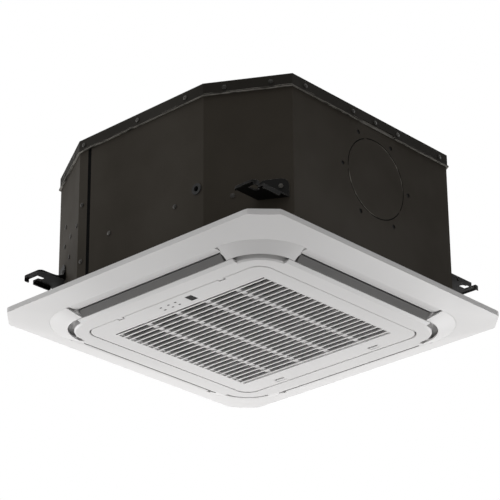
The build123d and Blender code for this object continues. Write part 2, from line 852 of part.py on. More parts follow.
export_step(drain_pan.part, "parts/drain_pan.step")

# ================================================================ bell mouth
flare_mid = cos(radians(45))
with BuildPart() as bell_mouth:
    with BuildSketch(Plane.XY.offset(casing_bottom - bell_sheet)):
        rounded(bell_plate_half, bell_plate_r)
        Circle(bell_mouth_r + bell_sheet / 2, mode=Mode.SUBTRACT)
    extrude(amount=bell_sheet)
    with BuildSketch(Plane.XZ):
        with BuildLine():
            flare_r = bell_mouth_r - bell_throat_r
            flare_z = bell_throat_z - casing_bottom
            outer_r = flare_r - bell_sheet
            outer_z = flare_z - bell_sheet
            ThreePointArc(
                (bell_throat_r, bell_throat_z),
                (bell_mouth_r - flare_mid * flare_r, bell_throat_z - flare_mid * flare_z),
                (bell_mouth_r, casing_bottom),
            )
            Polyline(
                (bell_mouth_r, casing_bottom),
                (bell_mouth_r, casing_bottom - bell_sheet),
                (bell_mouth_r + bell_sheet, casing_bottom - bell_sheet),
                (bell_mouth_r + bell_sheet, casing_bottom + bell_sheet),
                (bell_mouth_r, casing_bottom + bell_sheet),
            )
            ThreePointArc(
                (bell_mouth_r, casing_bottom + bell_sheet),
                (bell_mouth_r - flare_mid * outer_r, bell_throat_z - flare_mid * outer_z),
                (bell_throat_r + bell_sheet, bell_throat_z),
            )
            Polyline(
                (bell_throat_r + bell_sheet, bell_throat_z),
                (bell_throat_r + bell_sheet, bell_lip_z),
                (bell_throat_r, bell_lip_z),
                (bell_throat_r, bell_throat_z),
            )
        make_face()
    revolve(axis=Axis.Z)
bell_mouth.part.label = "bell_mouth"
export_step(bell_mouth.part, "parts/bell_mouth.step")

# ================================================================ heat exchanger
with BuildPart() as coil:
    with BuildSketch(Plane.XY.offset(coil_bottom)):
        rounded(coil_out, coil_out_r)
        rounded(coil_in, coil_in_r, Mode.SUBTRACT)
        patch(-far_away, -coil_end, coil_end, far_away, Mode.SUBTRACT)
    extrude(amount=pad_bottom - coil_bottom)
coil.part.label = "coil"
export_step(coil.part, "parts/coil.step")

with BuildPart() as coil_end_plates:
    with BuildSketch(Plane.XY.offset(coil_bottom)):
        patch(-coil_end - end_plate, -coil_end, coil_in - end_plate, coil_out + end_plate)
        patch(-coil_out - end_plate, -coil_in + end_plate, coil_end, coil_end + end_plate)
    extrude(amount=pad_bottom - coil_bottom)
coil_end_plates.part.label = "coil_end_plates"
export_step(coil_end_plates.part, "parts/coil_end_plates.step")

row_bend = (coil_out - coil_in) / 2 - row_inset
coil_middle = (coil_out + coil_in) / 2
with BuildPart() as return_bends:
    for row in range(tube_rows):
        tube_z = coil_bottom + first_tube + row * tube_pitch
        for x, y, angle in ((-coil_end, coil_middle, 90), (-coil_middle, coil_end, 0)):
            turn = Location((x, y, tube_z), (0, 0, angle))
            with Locations(turn * Location((0, end_plate, 0))):
                Torus(
                    row_bend,
                    tube_r,
                    major_angle=180,
                    align=(Align.CENTER, Align.MIN, Align.CENTER),
                )
return_bends.part.label = "return_bends"
export_step(return_bends.part, "parts/return_bends.step")

header_along = (header_x - pipe_x * cut_middle[0]) * -cut_normal[1]
header_along += (header_y - pipe_y * cut_middle[1]) * -cut_normal[0]
header_depth = (pipe_x * cut_middle[0] - header_x) * pipe_x * cut_normal[0]
header_depth += (pipe_y * cut_middle[1] - header_y) * pipe_y * cut_normal[1]
gas_exit = cut_plane(pipe_corner, header_along, gas_z)
stub_start = pipe_proud - nut_setback
with BuildPart() as gas_header:
    with BuildSketch(Plane.XY.offset(header_z[0])):
        with Locations((header_x, header_y)):
            Circle(header_r)
    extrude(amount=header_z[1] - header_z[0])
    feed_end = -coil_end - end_plate
    for row in range(1, tube_rows, 3):
        feed_z = coil_bottom + first_tube + (row + 0.5) * tube_pitch
        with BuildSketch(Plane(origin=(feed_end, coil_middle, feed_z), z_dir=(-1, 0, 0))):
            Circle(feed_r)
        extrude(amount=feed_end - header_x)
    with BuildSketch(cut_plane(pipe_corner, header_along, gas_z).offset(-header_depth)):
        Circle(gas_r)
    extrude(amount=header_depth + pipe_proud)
    with BuildSketch(gas_exit.offset(stub_start - pipe_bead)):
        Circle(gas_r + pipe_bead)
    extrude(amount=pipe_bead)
gas_header.part.label = "gas_header"
export_step(gas_header.part, "parts/gas_header.step")

# The liquid pipe leaves the left end plate, runs past the drain hose and turns outward.
liquid_exit = cut_plane(pipe_corner, liquid_along, liquid_z)
liquid_start = (liquid_x, coil_end + end_plate, liquid_z)
with BuildPart() as liquid_pipe:
    with BuildLine() as liquid_path:
        FilletPolyline(
            liquid_start,
            (liquid_x, liquid_turn_y, liquid_z),
            liquid_exit.offset(-liquid_depth).origin,
            liquid_exit.offset(pipe_proud).origin,
            radius=liquid_bend,
        )
    with BuildSketch(Plane(origin=liquid_start, z_dir=(0, 1, 0))):
        Circle(liquid_r)
    sweep(path=liquid_path.line)
    with BuildSketch(liquid_exit.offset(stub_start - pipe_bead)):
        Circle(liquid_r + pipe_bead)
    extrude(amount=pipe_bead)
liquid_pipe.part.label = "liquid_pipe"
export_step(liquid_pipe.part, "parts/liquid_pipe.step")

with BuildPart() as flare_nuts:
    for plane, flats, length, bore in (
        (gas_exit, gas_nut, gas_nut_length, gas_r),
        (liquid_exit, liquid_nut, liquid_nut_length, liquid_r),
    ):
        with BuildSketch(plane.offset(stub_start - pipe_bead - slip - length)):
            RegularPolygon(flats / 2, 6, major_radius=False)
            Circle(bore + running_fit, mode=Mode.SUBTRACT)
        extrude(amount=length)
flare_nuts.part.label = "flare_nuts"
export_step(flare_nuts.part, "parts/flare_nuts.step")

# ================================================================ drain
hose_out = cut_plane(pipe_corner, 0, hose_z)
hose_along = (hose_x - hose_out.origin.X) * hose_out.x_dir.X
hose_along += (hose_y - hose_out.origin.Y) * hose_out.x_dir.Y
spigot_plane = cut_plane(pipe_corner, hose_along, hose_z)

with BuildPart() as pipe_plate:
    with BuildSketch(cut_plane(pipe_corner)):
        patch(-pipe_plate_width / 2, pipe_plate_width / 2, *pipe_plate_z)
        for along, z, hole in (
            (header_along, gas_z, gas_r + pipe_fit),
            (liquid_along, liquid_z, liquid_r + pipe_fit),
            (hose_along, hose_z, spigot_r + pipe_fit),
        ):
            with Locations((along, z)):
                Circle(hole, mode=Mode.SUBTRACT)
    extrude(amount=sheet)
pipe_plate.part.label = "pipe_plate"
export_step(pipe_plate.part, "parts/pipe_plate.step")

with BuildPart() as drain_spigot:
    with BuildSketch(spigot_plane.offset(-spigot_in)):
        Circle(spigot_r)
    extrude(amount=spigot_in + spigot_proud)
    with BuildSketch(spigot_plane.offset(sheet)):
        Circle(spigot_flange_r)
    extrude(amount=spigot_flange)
    with BuildSketch(spigot_plane.offset(-spigot_in)):
        Circle(hose_r - hose_wall)
    extrude(amount=spigot_in + spigot_proud, mode=Mode.SUBTRACT)
drain_spigot.part.label = "drain_spigot"
export_step(drain_spigot.part, "parts/drain_spigot.step")

pump_side = pump_x - pump_width / 2
pump_back = pump_y + pump_depth / 2
pump_front = pump_y - pump_depth / 2
with BuildPart() as drain_pump:
    with BuildSketch(Plane.XY.offset(pump_bottom)) as pump_plan:
        with Locations((pump_x, pump_y)):
            Rectangle(pump_width, pump_depth)
    extrude(amount=pump_body_top - pump_bottom)
    with BuildSketch(Plane.XY.offset(pump_body_top)):
        with Locations((pump_x, pump_y)):
            Circle(pump_can_r)
    extrude(amount=pump_top - pump_body_top)
    with BuildSketch(Plane.XY.offset(volute_bottom)):
        with Locations((pump_x, pump_y)):
            Circle(volute_r)
    extrude(amount=pump_bottom - volute_bottom)
drain_pump.part.label = "drain_pump"
export_step(drain_pump.part, "parts/drain_pump.step")

with BuildPart() as pump_hose:
    with BuildLine() as hose_path:
        FilletPolyline(
            (pump_side, hose_y, hose_start),
            (hose_x, hose_y, hose_start),
            (hose_x, hose_y, hose_z),
            spigot_plane.offset(-spigot_in).origin,
            radius=hose_bend,
        )
    with BuildSketch(Plane(origin=(pump_side, hose_y, hose_start), z_dir=(-1, 0, 0))):
        Circle(hose_r)
        Circle(hose_r - hose_wall, mode=Mode.SUBTRACT)
    sweep(path=hose_path.line)
pump_hose.part.label = "pump_hose"
export_step(pump_hose.part, "parts/pump_hose.step")

float_bottom = float_collar_z + float_collar + slip
with BuildPart() as pump_brackets:
    with BuildSketch(Plane.XY.offset(pump_body_top - pump_bracket_height)):
        patch(pump_side, -coil_end - end_plate, pump_back, pump_back + end_plate)
    extrude(amount=pump_bracket_height)
    # the float's stem hangs from an arm on the front of the pump
    with BuildSketch(Plane.XY.offset(float_collar_z)):
        with Locations((float_x, float_y)):
            Circle(float_stem_r)
    extrude(amount=float_arm_z - float_collar_z)
    with BuildSketch(Plane.XY.offset(float_collar_z)):
        with Locations((float_x, float_y)):
            Circle(2 * float_stem_r)
    extrude(amount=float_collar)
    with BuildSketch(Plane.XY.offset(float_arm_z)):
        arm = 2 * float_stem_r
        patch(float_x - arm, float_x + arm, float_y - arm, pump_front)
    extrude(amount=float_collar)
pump_brackets.part.label = "pump_brackets"
export_step(pump_brackets.part, "parts/pump_brackets.step")

with BuildPart() as float_switch:
    with BuildSketch(Plane.XY.offset(float_bottom)):
        with Locations((float_x, float_y)):
            Circle(float_r)
    extrude(amount=float_height)
    fillet(float_switch.edges().filter_by(GeomType.CIRCLE), float_height / 5)
    with BuildSketch(Plane.XY.offset(float_bottom)):
        with Locations((float_x, float_y)):
            Circle(float_stem_r + slip)
    extrude(amount=float_height, mode=Mode.SUBTRACT)
float_switch.part.label = "float_switch"
export_step(float_switch.part, "parts/float_switch.step")

# ================================================================ fan
shroud_inner = [(fan_eye_r, fan_bottom)]
shroud_inner += [(fan_eye_r + reach, z) for reach, z in shroud_curve]
shroud_inner += [(fan_r, shroud_rim_z)]
with BuildPart() as fan_wheel:
    with BuildSketch(Plane.XY.offset(blade_bottom)):
        sweep_mid = radians(blade_sweep * blade_bow)
        sweep_end = radians(blade_sweep)
        blade_mid_r = (blade_in_r + blade_out_r) / 2
        with PolarLocations(0, blade_count):
            with BuildLine() as blade_line:
                ThreePointArc(
                    (blade_in_r, 0),
                    (blade_mid_r * cos(sweep_mid), blade_mid_r * sin(sweep_mid)),
                    (blade_out_r * cos(sweep_end), blade_out_r * sin(sweep_end)),
                )
            trace(line_width=blade_thick)
    extrude(amount=fan_plate_z - blade_bottom)
    with BuildSketch(Plane.XZ):
        with BuildLine():
            Polyline(
                (0, fan_bottom),
                *[(r, z + fan_sheet / 2) for r, z in shroud_inner],
                (fan_r, fan_plate_z),
                (0, fan_plate_z),
                close=True,
            )
        make_face()
    revolve(axis=Axis.Z, mode=Mode.INTERSECT)
    with BuildSketch(Plane.XZ):
        lean_r, lean_z = shroud_lean
        outer = [(r + fan_sheet * lean_r, z - fan_sheet * lean_z) for r, z in shroud_inner[1:]]
        with BuildLine():
            Polyline(
                *shroud_inner[:1],
                *[(r, z + fan_sheet) for r, z in shroud_inner[1:]],
                *outer[::-1],
                (fan_eye_r + fan_sheet, fan_bottom),
                close=True,
            )
        make_face()
    revolve(axis=Axis.Z)
    with BuildSketch(Plane.XY.offset(fan_plate_z)):
        Circle(fan_r)
    extrude(amount=fan_sheet)
    with BuildSketch(Plane.XY.offset(fan_plate_z - hub_drop)):
        Circle(hub_r)
    extrude(amount=hub_drop)
    with BuildSketch(Plane.XY.offset(fan_plate_z - hub_drop)):
        Circle(insert_r)
    extrude(amount=hub_drop + fan_sheet, mode=Mode.SUBTRACT)
fan_wheel.part.label = "fan_wheel"
export_step(fan_wheel.part, "parts/fan_wheel.step")

hub_bottom = fan_plate_z - hub_drop
with BuildPart() as fan_insert:
    with BuildSketch(Plane.XY.offset(hub_bottom)):
        Circle(insert_r)
        Circle(shaft_r, mode=Mode.SUBTRACT)
    extrude(amount=hub_drop + fan_sheet)
fan_insert.part.label = "fan_insert"
export_step(fan_insert.part, "parts/fan_insert.step")

with BuildPart() as fan_nut:
    with BuildSketch(Plane.XY.offset(hub_bottom - washer - fan_nut_height)):
        RegularPolygon(fan_nut_flats / 2, 6, major_radius=False)
        Circle(shaft_r, mode=Mode.SUBTRACT)
    extrude(amount=fan_nut_height)
    with BuildSketch(Plane.XY.offset(hub_bottom - washer)):
        Circle(washer_r)
        Circle(shaft_r, mode=Mode.SUBTRACT)
    extrude(amount=washer)
fan_nut.part.label = "fan_nut"
export_step(fan_nut.part, "parts/fan_nut.step")

with BuildPart() as motor_shaft:
    with BuildSketch(Plane.XY.offset(hub_bottom - washer - fan_nut_height - shaft_end)):
        Circle(shaft_r)
    extrude(amount=shaft_top - hub_bottom + washer + fan_nut_height + shaft_end)
    chamfer(motor_shaft.edges().group_by(Axis.Z)[0], shaft_r / 5)
motor_shaft.part.label = "motor_shaft"
export_step(motor_shaft.part, "parts/motor_shaft.step")

with BuildPart() as fan_motor:
    with BuildSketch(Plane.XY.offset(motor_bottom)):
        Circle(motor_r)
    extrude(amount=motor_top - motor_bottom)
    chamfer(fan_motor.edges().filter_by(GeomType.CIRCLE), motor_edge)
    with BuildSketch(Plane.XY.offset(motor_bottom - motor_boss)):
        Circle(motor_boss_r)
    extrude(amount=motor_boss)
    with BuildSketch(Plane.XY.offset(motor_foot_z)):
        with PolarLocations(motor_foot_r / 2, motor_feet, start_angle=motor_turn):
            Rectangle(motor_foot_r, motor_foot_width)
        with PolarLocations(motor_foot_r, motor_feet, start_angle=motor_turn):
            Circle(motor_foot_width / 2)
    extrude(amount=motor_foot)
    with BuildSketch(Plane.XY.offset(motor_foot_z)):
        with PolarLocations(motor_foot_r, motor_feet, start_angle=motor_turn):
            Circle(motor_bolt_r + motor_bolt_fit)
    extrude(amount=motor_foot, mode=Mode.SUBTRACT)
    with BuildSketch(Plane.XY.offset(motor_bottom - motor_boss)):
        Circle(shaft_r + running_fit)
    extrude(amount=shaft_top + running_fit - motor_bottom + motor_boss, mode=Mode.SUBTRACT)
fan_motor.part.label = "fan_motor"
export_step(fan_motor.part, "parts/fan_motor.step")

mount_bottom = motor_foot_z + motor_foot
with BuildPart() as motor_mounts:
    with BuildSketch(Plane.XY.offset(mount_bottom)):
        with PolarLocations(motor_foot_r, motor_feet, start_angle=motor_turn):
            Circle(mount_r)
            Circle(motor_bolt_r + motor_bolt_fit, mode=Mode.SUBTRACT)
    extrude(amount=cover_under - mount_bottom)
motor_mounts.part.label = "motor_mounts"
export_step(motor_mounts.part, "parts/motor_mounts.step")

bolt_bottom = motor_foot_z - bolt_nut
with BuildPart() as motor_bolts:
    with BuildSketch(Plane.XY.offset(bolt_bottom)):
        with PolarLocations(motor_foot_r, motor_feet, start_angle=motor_turn):
            Circle(motor_bolt_r)
    extrude(amount=casing_top - bolt_bottom)
    for z, flats, height in (
        (casing_top, 2 * bolt_head_r, bolt_head),
        (bolt_bottom, bolt_nut_flats, bolt_nut),
    ):
        with BuildSketch(Plane.XY.offset(z)):
            with PolarLocations(motor_foot_r, motor_feet, start_angle=motor_turn):
                RegularPolygon(flats / 2, 6, major_radius=False)
        extrude(amount=height)
motor_bolts.part.label = "motor_bolts"
export_step(motor_bolts.part, "parts/motor_bolts.step")

# ================================================================ control box
box_top = casing_bottom - bell_sheet
with BuildPart() as control_box:
    with BuildSketch(Plane.XY.offset(box_bottom)):
        patch(box_in, box_out, -box_half, box_half)
    extrude(amount=box_top - box_bottom)
    with BuildSketch(Plane.XY.offset(box_bottom)):
        patch(box_in + box_sheet, box_out - box_sheet, -box_half + box_sheet, box_half - box_sheet)
    extrude(amount=box_top - box_bottom - box_sheet, mode=Mode.SUBTRACT)
    with BuildSketch(Plane.XY.offset(board_z + board)):
        middle = (box_in + box_out) / 2
        with Locations((middle, 0)):
            post_x, post_y = box_out - box_in - 4 * board_margin, 2 * (box_half - board_post_inset)
            with GridLocations(post_x, post_y, 2, 2):
                Circle(2 * board)
    extrude(amount=box_top - board_z - board - box_sheet)
control_box.part.label = "control_box"
export_step(control_box.part, "parts/control_box.step")

cover_grow = box_sheet + slip
with BuildPart() as control_box_cover:
    with BuildSketch(Plane.XY.offset(box_bottom - box_sheet)):
        patch(
            box_in - cover_grow,
            box_out + cover_grow,
            -box_half - cover_grow,
            box_half + cover_grow,
        )
    extrude(amount=box_sheet + cover_edge)
    with BuildSketch(Plane.XY.offset(box_bottom)):
        patch(box_in - slip, box_out + slip, -box_half - slip, box_half + slip)
    extrude(amount=cover_edge, mode=Mode.SUBTRACT)
control_box_cover.part.label = "control_box_cover"
export_step(control_box_cover.part, "parts/control_box_cover.step")

board_in = box_in + board_margin
board_out = box_out - board_margin
with BuildPart() as circuit_board:
    with BuildSketch(Plane.XY.offset(board_z)):
        patch(board_in, board_out, -box_half + board_margin, box_half - board_margin)
    extrude(amount=board)
    for y, width, depth, height in board_parts:
        with BuildSketch(Plane.XY.offset(board_z - height)):
            with Locations((middle, y)):
                Rectangle(width, depth)
        extrude(amount=height)
circuit_board.part.label = "circuit_board"
export_step(circuit_board.part, "parts/circuit_board.step")

with BuildPart() as terminal_block:
    with BuildSketch(Plane.XY.offset(board_z - terminal_height)):
        with Locations((middle, terminal_y)):
            Rectangle(terminal_depth, terminal_ways * terminal_pitch)
    extrude(amount=terminal_height)
    with BuildSketch(Plane.XY.offset(board_z - terminal_height)):
        with Locations((middle, terminal_y)):
            with GridLocations(terminal_depth / 2, terminal_pitch, 2, terminal_ways):
                Circle(terminal_pitch / 4)
    extrude(amount=terminal_height / 3, mode=Mode.SUBTRACT)
terminal_block.part.label = "terminal_block"
export_step(terminal_block.part, "parts/terminal_block.step")

# ================================================================ decorative panel
rim_half = panel_size / 2
rim_bottom = -panel_rim


def turned_patches(*rectangle, mode=Mode.ADD):
    """The same rectangle of the open sketch on all four sides of the unit."""
    for quarter in range(4):
        with Locations(turned(90 * quarter)):
            patch(*rectangle, mode=mode)


def ring_face(half, radius, z):
    """A rounded square at height z."""
    with BuildSketch(Plane.XY.offset(z), mode=Mode.PRIVATE) as ring:
        rounded(half, radius)
    return ring.sketch


def ring_loft(low, high):
    """Solid between two rounded squares, each given as (half size, radius, Z)."""
    loft(sections=[ring_face(*low), ring_face(*high)], ruled=True)


def slanted_corner(reach):
    """The corner field between two outlets, in the first quarter, for the open sketch."""
    near_r, near_t = trough_end
    far_r, far_t = trough_far
    out_t = far_t + (reach - far_r) * (far_t - near_t) / (far_r - near_r)
    Polygon(
        (near_t, near_r),
        (out_t, reach),
        (reach, reach),
        (reach, out_t),
        (near_r, near_t),
        (near_t, near_t),
        align=None,
    )


def end_wall_face():
    """Section of the wall at the end of an outlet, as distance from the middle and Z."""
    out = lead_out + panel_wall
    shell_rise = (foot_z - cover_lip_z) / (foot_half - cover_lip_half)
    low_in = cover_lip_z + panel_wall + end_wall_gap
    low_out = low_in + (out - cover_lip_half) * shell_rise
    Polygon(
        (duct_half - panel_wall / 2, lip_z),
        (cover_lip_half - slip, lip_z),
        (cover_lip_half - slip, low_in),
        (out, low_out),
        (out, duct_top),
        (duct_half - panel_wall / 2, duct_top),
        align=None,
    )


def panel_outline(inset=0.0):
    """The panel's plan for the open sketch: rounded corners with a flat across each of them,
    and these flats moved inward by inset."""
    rounded(rim_half, panel_corner_r)
    across = 2 * ((rim_half - panel_cut / 2) / cos(radians(45)) - inset)
    Rectangle(across, across, rotation=45, mode=Mode.INTERSECT)


# Draft shapes of the panel: its sloping border, the space behind that, and the middle face.
with BuildPart() as border:
    ring_loft((foot_half, foot_r, foot_z), (rim_half, panel_corner_r, rim_bottom))
    with BuildSketch(Plane.XY.offset(foot_z)):
        panel_outline()
    extrude(amount=-foot_z, mode=Mode.INTERSECT)
with BuildPart() as border_space:
    ring_loft(
        (foot_half, foot_r, foot_z + panel_wall),
        (rim_half, panel_corner_r, rim_bottom + panel_wall),
    )
    with BuildSketch(Plane.XY.offset(foot_z)):
        panel_outline(panel_wall)
    extrude(amount=-foot_z, mode=Mode.INTERSECT)
with BuildPart() as middle_face:
    ring_loft((face_half, face_r, face_z), (lip_half, lip_r, lip_z))
    with BuildSketch(Plane.XY.offset(lip_z)):
        rounded(lip_half, lip_r)
    extrude(amount=lip_edge)

with BuildPart() as panel_frame:
    add(border.part)
    add(border_space.part, mode=Mode.SUBTRACT)
    # outer edge that stands against the ceiling
    with BuildSketch(Plane.XY.offset(rim_bottom)):
        panel_outline()
        offset(amount=-panel_wall, mode=Mode.SUBTRACT)
    extrude(amount=panel_rim)
    # the plate at the border's foot stays only as the outlets' outer lips
    with BuildSketch(Plane.XY.offset(foot_z)):
        rounded(foot_half, foot_r)
        turned_patches(lead_out, foot_half, -lead_out_half, lead_out_half, mode=Mode.SUBTRACT)
    extrude(amount=panel_wall, mode=Mode.SUBTRACT)
    # decks that close the corners between the air ducts
    with BuildSketch(Plane.XY.offset(foot_z + panel_wall)):
        rounded(foot_half + 2 * panel_wall, foot_r - 2 * panel_wall)
        patch(-end_wall, end_wall, -rim_half, rim_half, Mode.SUBTRACT)
        patch(-rim_half, rim_half, -end_wall, end_wall, Mode.SUBTRACT)
        turned_patches(*stepper_pocket, mode=Mode.SUBTRACT)
        with Locations(panel_bolt_places):
            Circle(panel_bolt_r + slip, mode=Mode.SUBTRACT)
    extrude(amount=panel_wall)
    # raised middle face and the inner duct wall
    add(middle_face.part)
    with BuildSketch(Plane.XY.offset(lip_z)):
        rounded(duct_half, duct_r)
    extrude(amount=duct_top - lip_z)
    with BuildSketch(Plane.XY.offset(face_z + panel_wall)):
        rounded(duct_half - panel_wall, duct_r - panel_wall)
    extrude(amount=duct_top - face_z, mode=Mode.SUBTRACT)
    # opening of the intake grille
    with BuildSketch(Plane.XY.offset(face_z)):
        rounded(opening_half + panel_wall, opening_r + panel_wall)
    extrude(amount=opening_wall_top - face_z)
    with BuildSketch(Plane.XY.offset(face_z)):
        rounded(opening_half, opening_r)
    extrude(amount=duct_top - face_z, mode=Mode.SUBTRACT)
    # outer duct walls
    with BuildSketch(Plane.XY.offset(foot_z + panel_wall / 2)):
        wall_end = end_wall + panel_wall
        turned_patches(lead_out, lead_out + panel_wall, -wall_end, wall_end)
    extrude(amount=duct_top - foot_z - panel_wall / 2)
    # walls at the ends of the outlets, with the vanes' bearings
    for quarter in range(4):
        for middle_t in (end_wall + panel_wall / 2, -end_wall - panel_wall / 2):
            across = Plane(origin=(0, middle_t, 0), x_dir=(1, 0, 0), z_dir=(0, -1, 0))
            with BuildSketch(Plane(turned(90 * quarter) * across.location)):
                end_wall_face()
                with Locations((vane_axis, vane_axis_z)):
                    Circle(vane_pin_r + running_fit, mode=Mode.SUBTRACT)
            extrude(amount=panel_wall / 2, both=True)
    # finger recesses, swept round the middles of the corners
    for quarter in range(4):
        middle = Location((lip_half - lip_r, lip_half - lip_r, 0), (0, 0, 45 - recess_half_angle))
        across = turned(90 * quarter) * middle * Location((0, 0, 0), (90, 0, 0))
        with BuildSketch(Plane(across)):
            Polygon(
                (recess_in_r, face_z),
                (duct_r, face_z + recess_dip),
                (duct_r, lip_z + lip_edge),
                (cover_lip_r, lip_z + lip_edge),
                (cover_lip_r, face_z),
                align=None,
            )
        corner_axis = Axis(across.position, (0, 0, 1))
        revolve(axis=corner_axis, revolution_arc=2 * recess_half_angle, mode=Mode.SUBTRACT)
    # slots for the grille's latches
    with BuildSketch(Plane.XY.offset(tongue_z - latch_fit)):
        for x in (-latch_x, latch_x):
            reach = latch_tongue_width / 2 + latch_fit
            patch(x - reach, x + reach, opening_half - panel_wall, opening_half + 2 * panel_wall)
    extrude(amount=latch_tongue + 2 * latch_fit, mode=Mode.SUBTRACT)
    # lugs for the grille's hinge pins
    for x in (-hinge_x, hinge_x):
        with BuildSketch(Plane(origin=(x, hinge_y, hinge_z), x_dir=(0, 1, 0), z_dir=(1, 0, 0))):
            Circle(hinge_lug_r)
            patch(-opening_half - panel_wall / 2 - hinge_y, 0, -hinge_lug_r, hinge_lug_r)
            Circle(hinge_pin_r + running_fit, mode=Mode.SUBTRACT)
        extrude(amount=hinge_lug / 2, both=True)
panel_frame.part.label = "panel_frame"
export_step(panel_frame.part, "parts/panel_frame.step")

# ================================================================ corner covers
with BuildPart() as cover_shell:
    ring_loft(
        (cover_lip_half, cover_lip_r, cover_lip_z),
        (foot_half - cover_gap, foot_r - cover_gap, foot_z),
    )
with BuildPart() as cover_space:
    ring_loft(
        (cover_lip_half, cover_lip_r, cover_lip_z + panel_wall),
        (foot_half - cover_gap, foot_r - cover_gap, foot_z + panel_wall),
    )
corner_names = ("rear_right", "rear_left", "front_left", "front_right")
for quarter, corner_name in enumerate(corner_names):
    with BuildPart() as corner_cover:
        add(cover_shell.part)
        with BuildSketch(Plane.XY.offset(foot_z)):
            rounded(foot_half - cover_gap, foot_r - cover_gap)
        extrude(amount=panel_wall - slip)
        add(cover_space.part, mode=Mode.SUBTRACT)
        with BuildSketch(Plane.XY.offset(cover_lip_z)):
            rounded(cover_lip_half, cover_lip_r)
        extrude(amount=panel_rim + panel_wall * 4, mode=Mode.SUBTRACT)
        with BuildSketch(Plane.XY.offset(cover_lip_z)):
            with Locations(turned(90 * quarter)):
                slanted_corner(rim_half)
        extrude(amount=panel_rim + panel_wall * 4, mode=Mode.INTERSECT)
    corner_cover.part.label = f"corner_cover_{corner_name}"
    export_step(corner_cover.part, f"parts/corner_cover_{corner_name}.step")

# ================================================================ panel bolts and outlet seals
deck_bottom = foot_z + panel_wall
with BuildPart() as panel_bolts:
    with BuildSketch(Plane.XY.offset(deck_bottom)):
        with Locations(panel_bolt_places):
            Circle(panel_bolt_r)
    extrude(amount=panel_bolt_top - deck_bottom)
    with BuildSketch(Plane.XY.offset(deck_bottom - panel_bolt_head)):
        with Locations(panel_bolt_places):
            Circle(panel_bolt_head_r)
    extrude(amount=panel_bolt_head)
panel_bolts.part.label = "panel_bolts"
export_step(panel_bolts.part, "parts/panel_bolts.step")

with BuildPart() as outlet_seals:
    with BuildSketch(Plane.XY.offset(duct_top)):
        seal_end = end_wall + seal_width
        turned_patches(duct_half - panel_wall, lead_out + seal_width, -seal_end, seal_end)
        turned_patches(duct_half, lead_out, -end_wall, end_wall, mode=Mode.SUBTRACT)
    extrude(amount=casing_bottom - duct_top)
outlet_seals.part.label = "outlet_seals"
export_step(outlet_seals.part, "parts/outlet_seals.step")

# ================================================================ vanes
chord = (vane_in[0] - vane_out[0], vane_in[1] - vane_out[1])
chord_length = hypot(*chord)
inward = (chord[1] / chord_length * vane_thick, -chord[0] / chord_length * vane_thick)
vane_in_back = (vane_in[0] + inward[0], vane_in[1] + inward[1])
vane_out_back = (vane_out[0] + inward[0], vane_out[1] + inward[1])
with BuildPart() as vane:
    with BuildSketch(Plane.XZ):
        Polygon(vane_out, vane_in, vane_in_back, vane_out_back, align=None)
    extrude(amount=vane_half, both=True)
    fillet(vane.edges().filter_by(Axis.Y), vane_thick * vane_round)
    for end in (1, -1):
        arm_middle = end * (vane_half - vane_arm / 2)
        with BuildSketch(Plane(origin=(0, arm_middle, 0), x_dir=(1, 0, 0), z_dir=(0, -1, 0))):
            Polygon(
                vane_out_back,
                (vane_out[0] + inward[0] / 2, vane_out[1] + inward[1] / 2),
                (vane_in[0] + inward[0] / 2, vane_in[1] + inward[1] / 2),
                vane_in_back,
                (vane_axis - vane_web[0], vane_axis_z - vane_web[1]),
                (vane_axis, vane_axis_z + vane_boss_r),
                align=None,
            )
            with Locations((vane_axis, vane_axis_z)):
                Circle(vane_boss_r)
        extrude(amount=vane_arm / 2, both=True)
    pin_plane = Plane(origin=(vane_axis, -vane_half, vane_axis_z), z_dir=(0, -1, 0))
    with BuildSketch(pin_plane):
        Circle(vane_pin_r)
    extrude(amount=vane_pin)
    drive_plane = Plane(origin=(vane_axis, vane_half, vane_axis_z), z_dir=(0, 1, 0))
    with BuildSketch(drive_plane):
        Circle(vane_pin_r)
    extrude(amount=vane_pin + stepper_bore)

vane_names = ("vane_right", "vane_rear", "vane_left", "vane_front")
for quarter, vane_name in enumerate(vane_names):
    with BuildPart() as turned_vane:
        with Locations(turned(90 * quarter)):
            add(vane.part)
    turned_vane.part.label = vane_name
    export_step(turned_vane.part, f"parts/{vane_name}.step")

with BuildPart() as stepper:
    stepper_start = end_wall + panel_wall
    with BuildSketch(Plane(origin=(vane_axis, stepper_start, vane_axis_z), z_dir=(0, 1, 0))):
        Circle(stepper_r)
    extrude(amount=stepper_length)
    with BuildSketch(Plane(origin=(vane_axis, stepper_start, vane_axis_z), z_dir=(0, 1, 0))):
        Circle(vane_pin_r + running_fit)
    extrude(amount=vane_pin + stepper_bore, mode=Mode.SUBTRACT)
with BuildPart() as vane_motors:
    for quarter in range(4):
        with Locations(turned(90 * quarter)):
            add(stepper.part)
vane_motors.part.label = "vane_motors"
export_step(vane_motors.part, "parts/vane_motors.step")

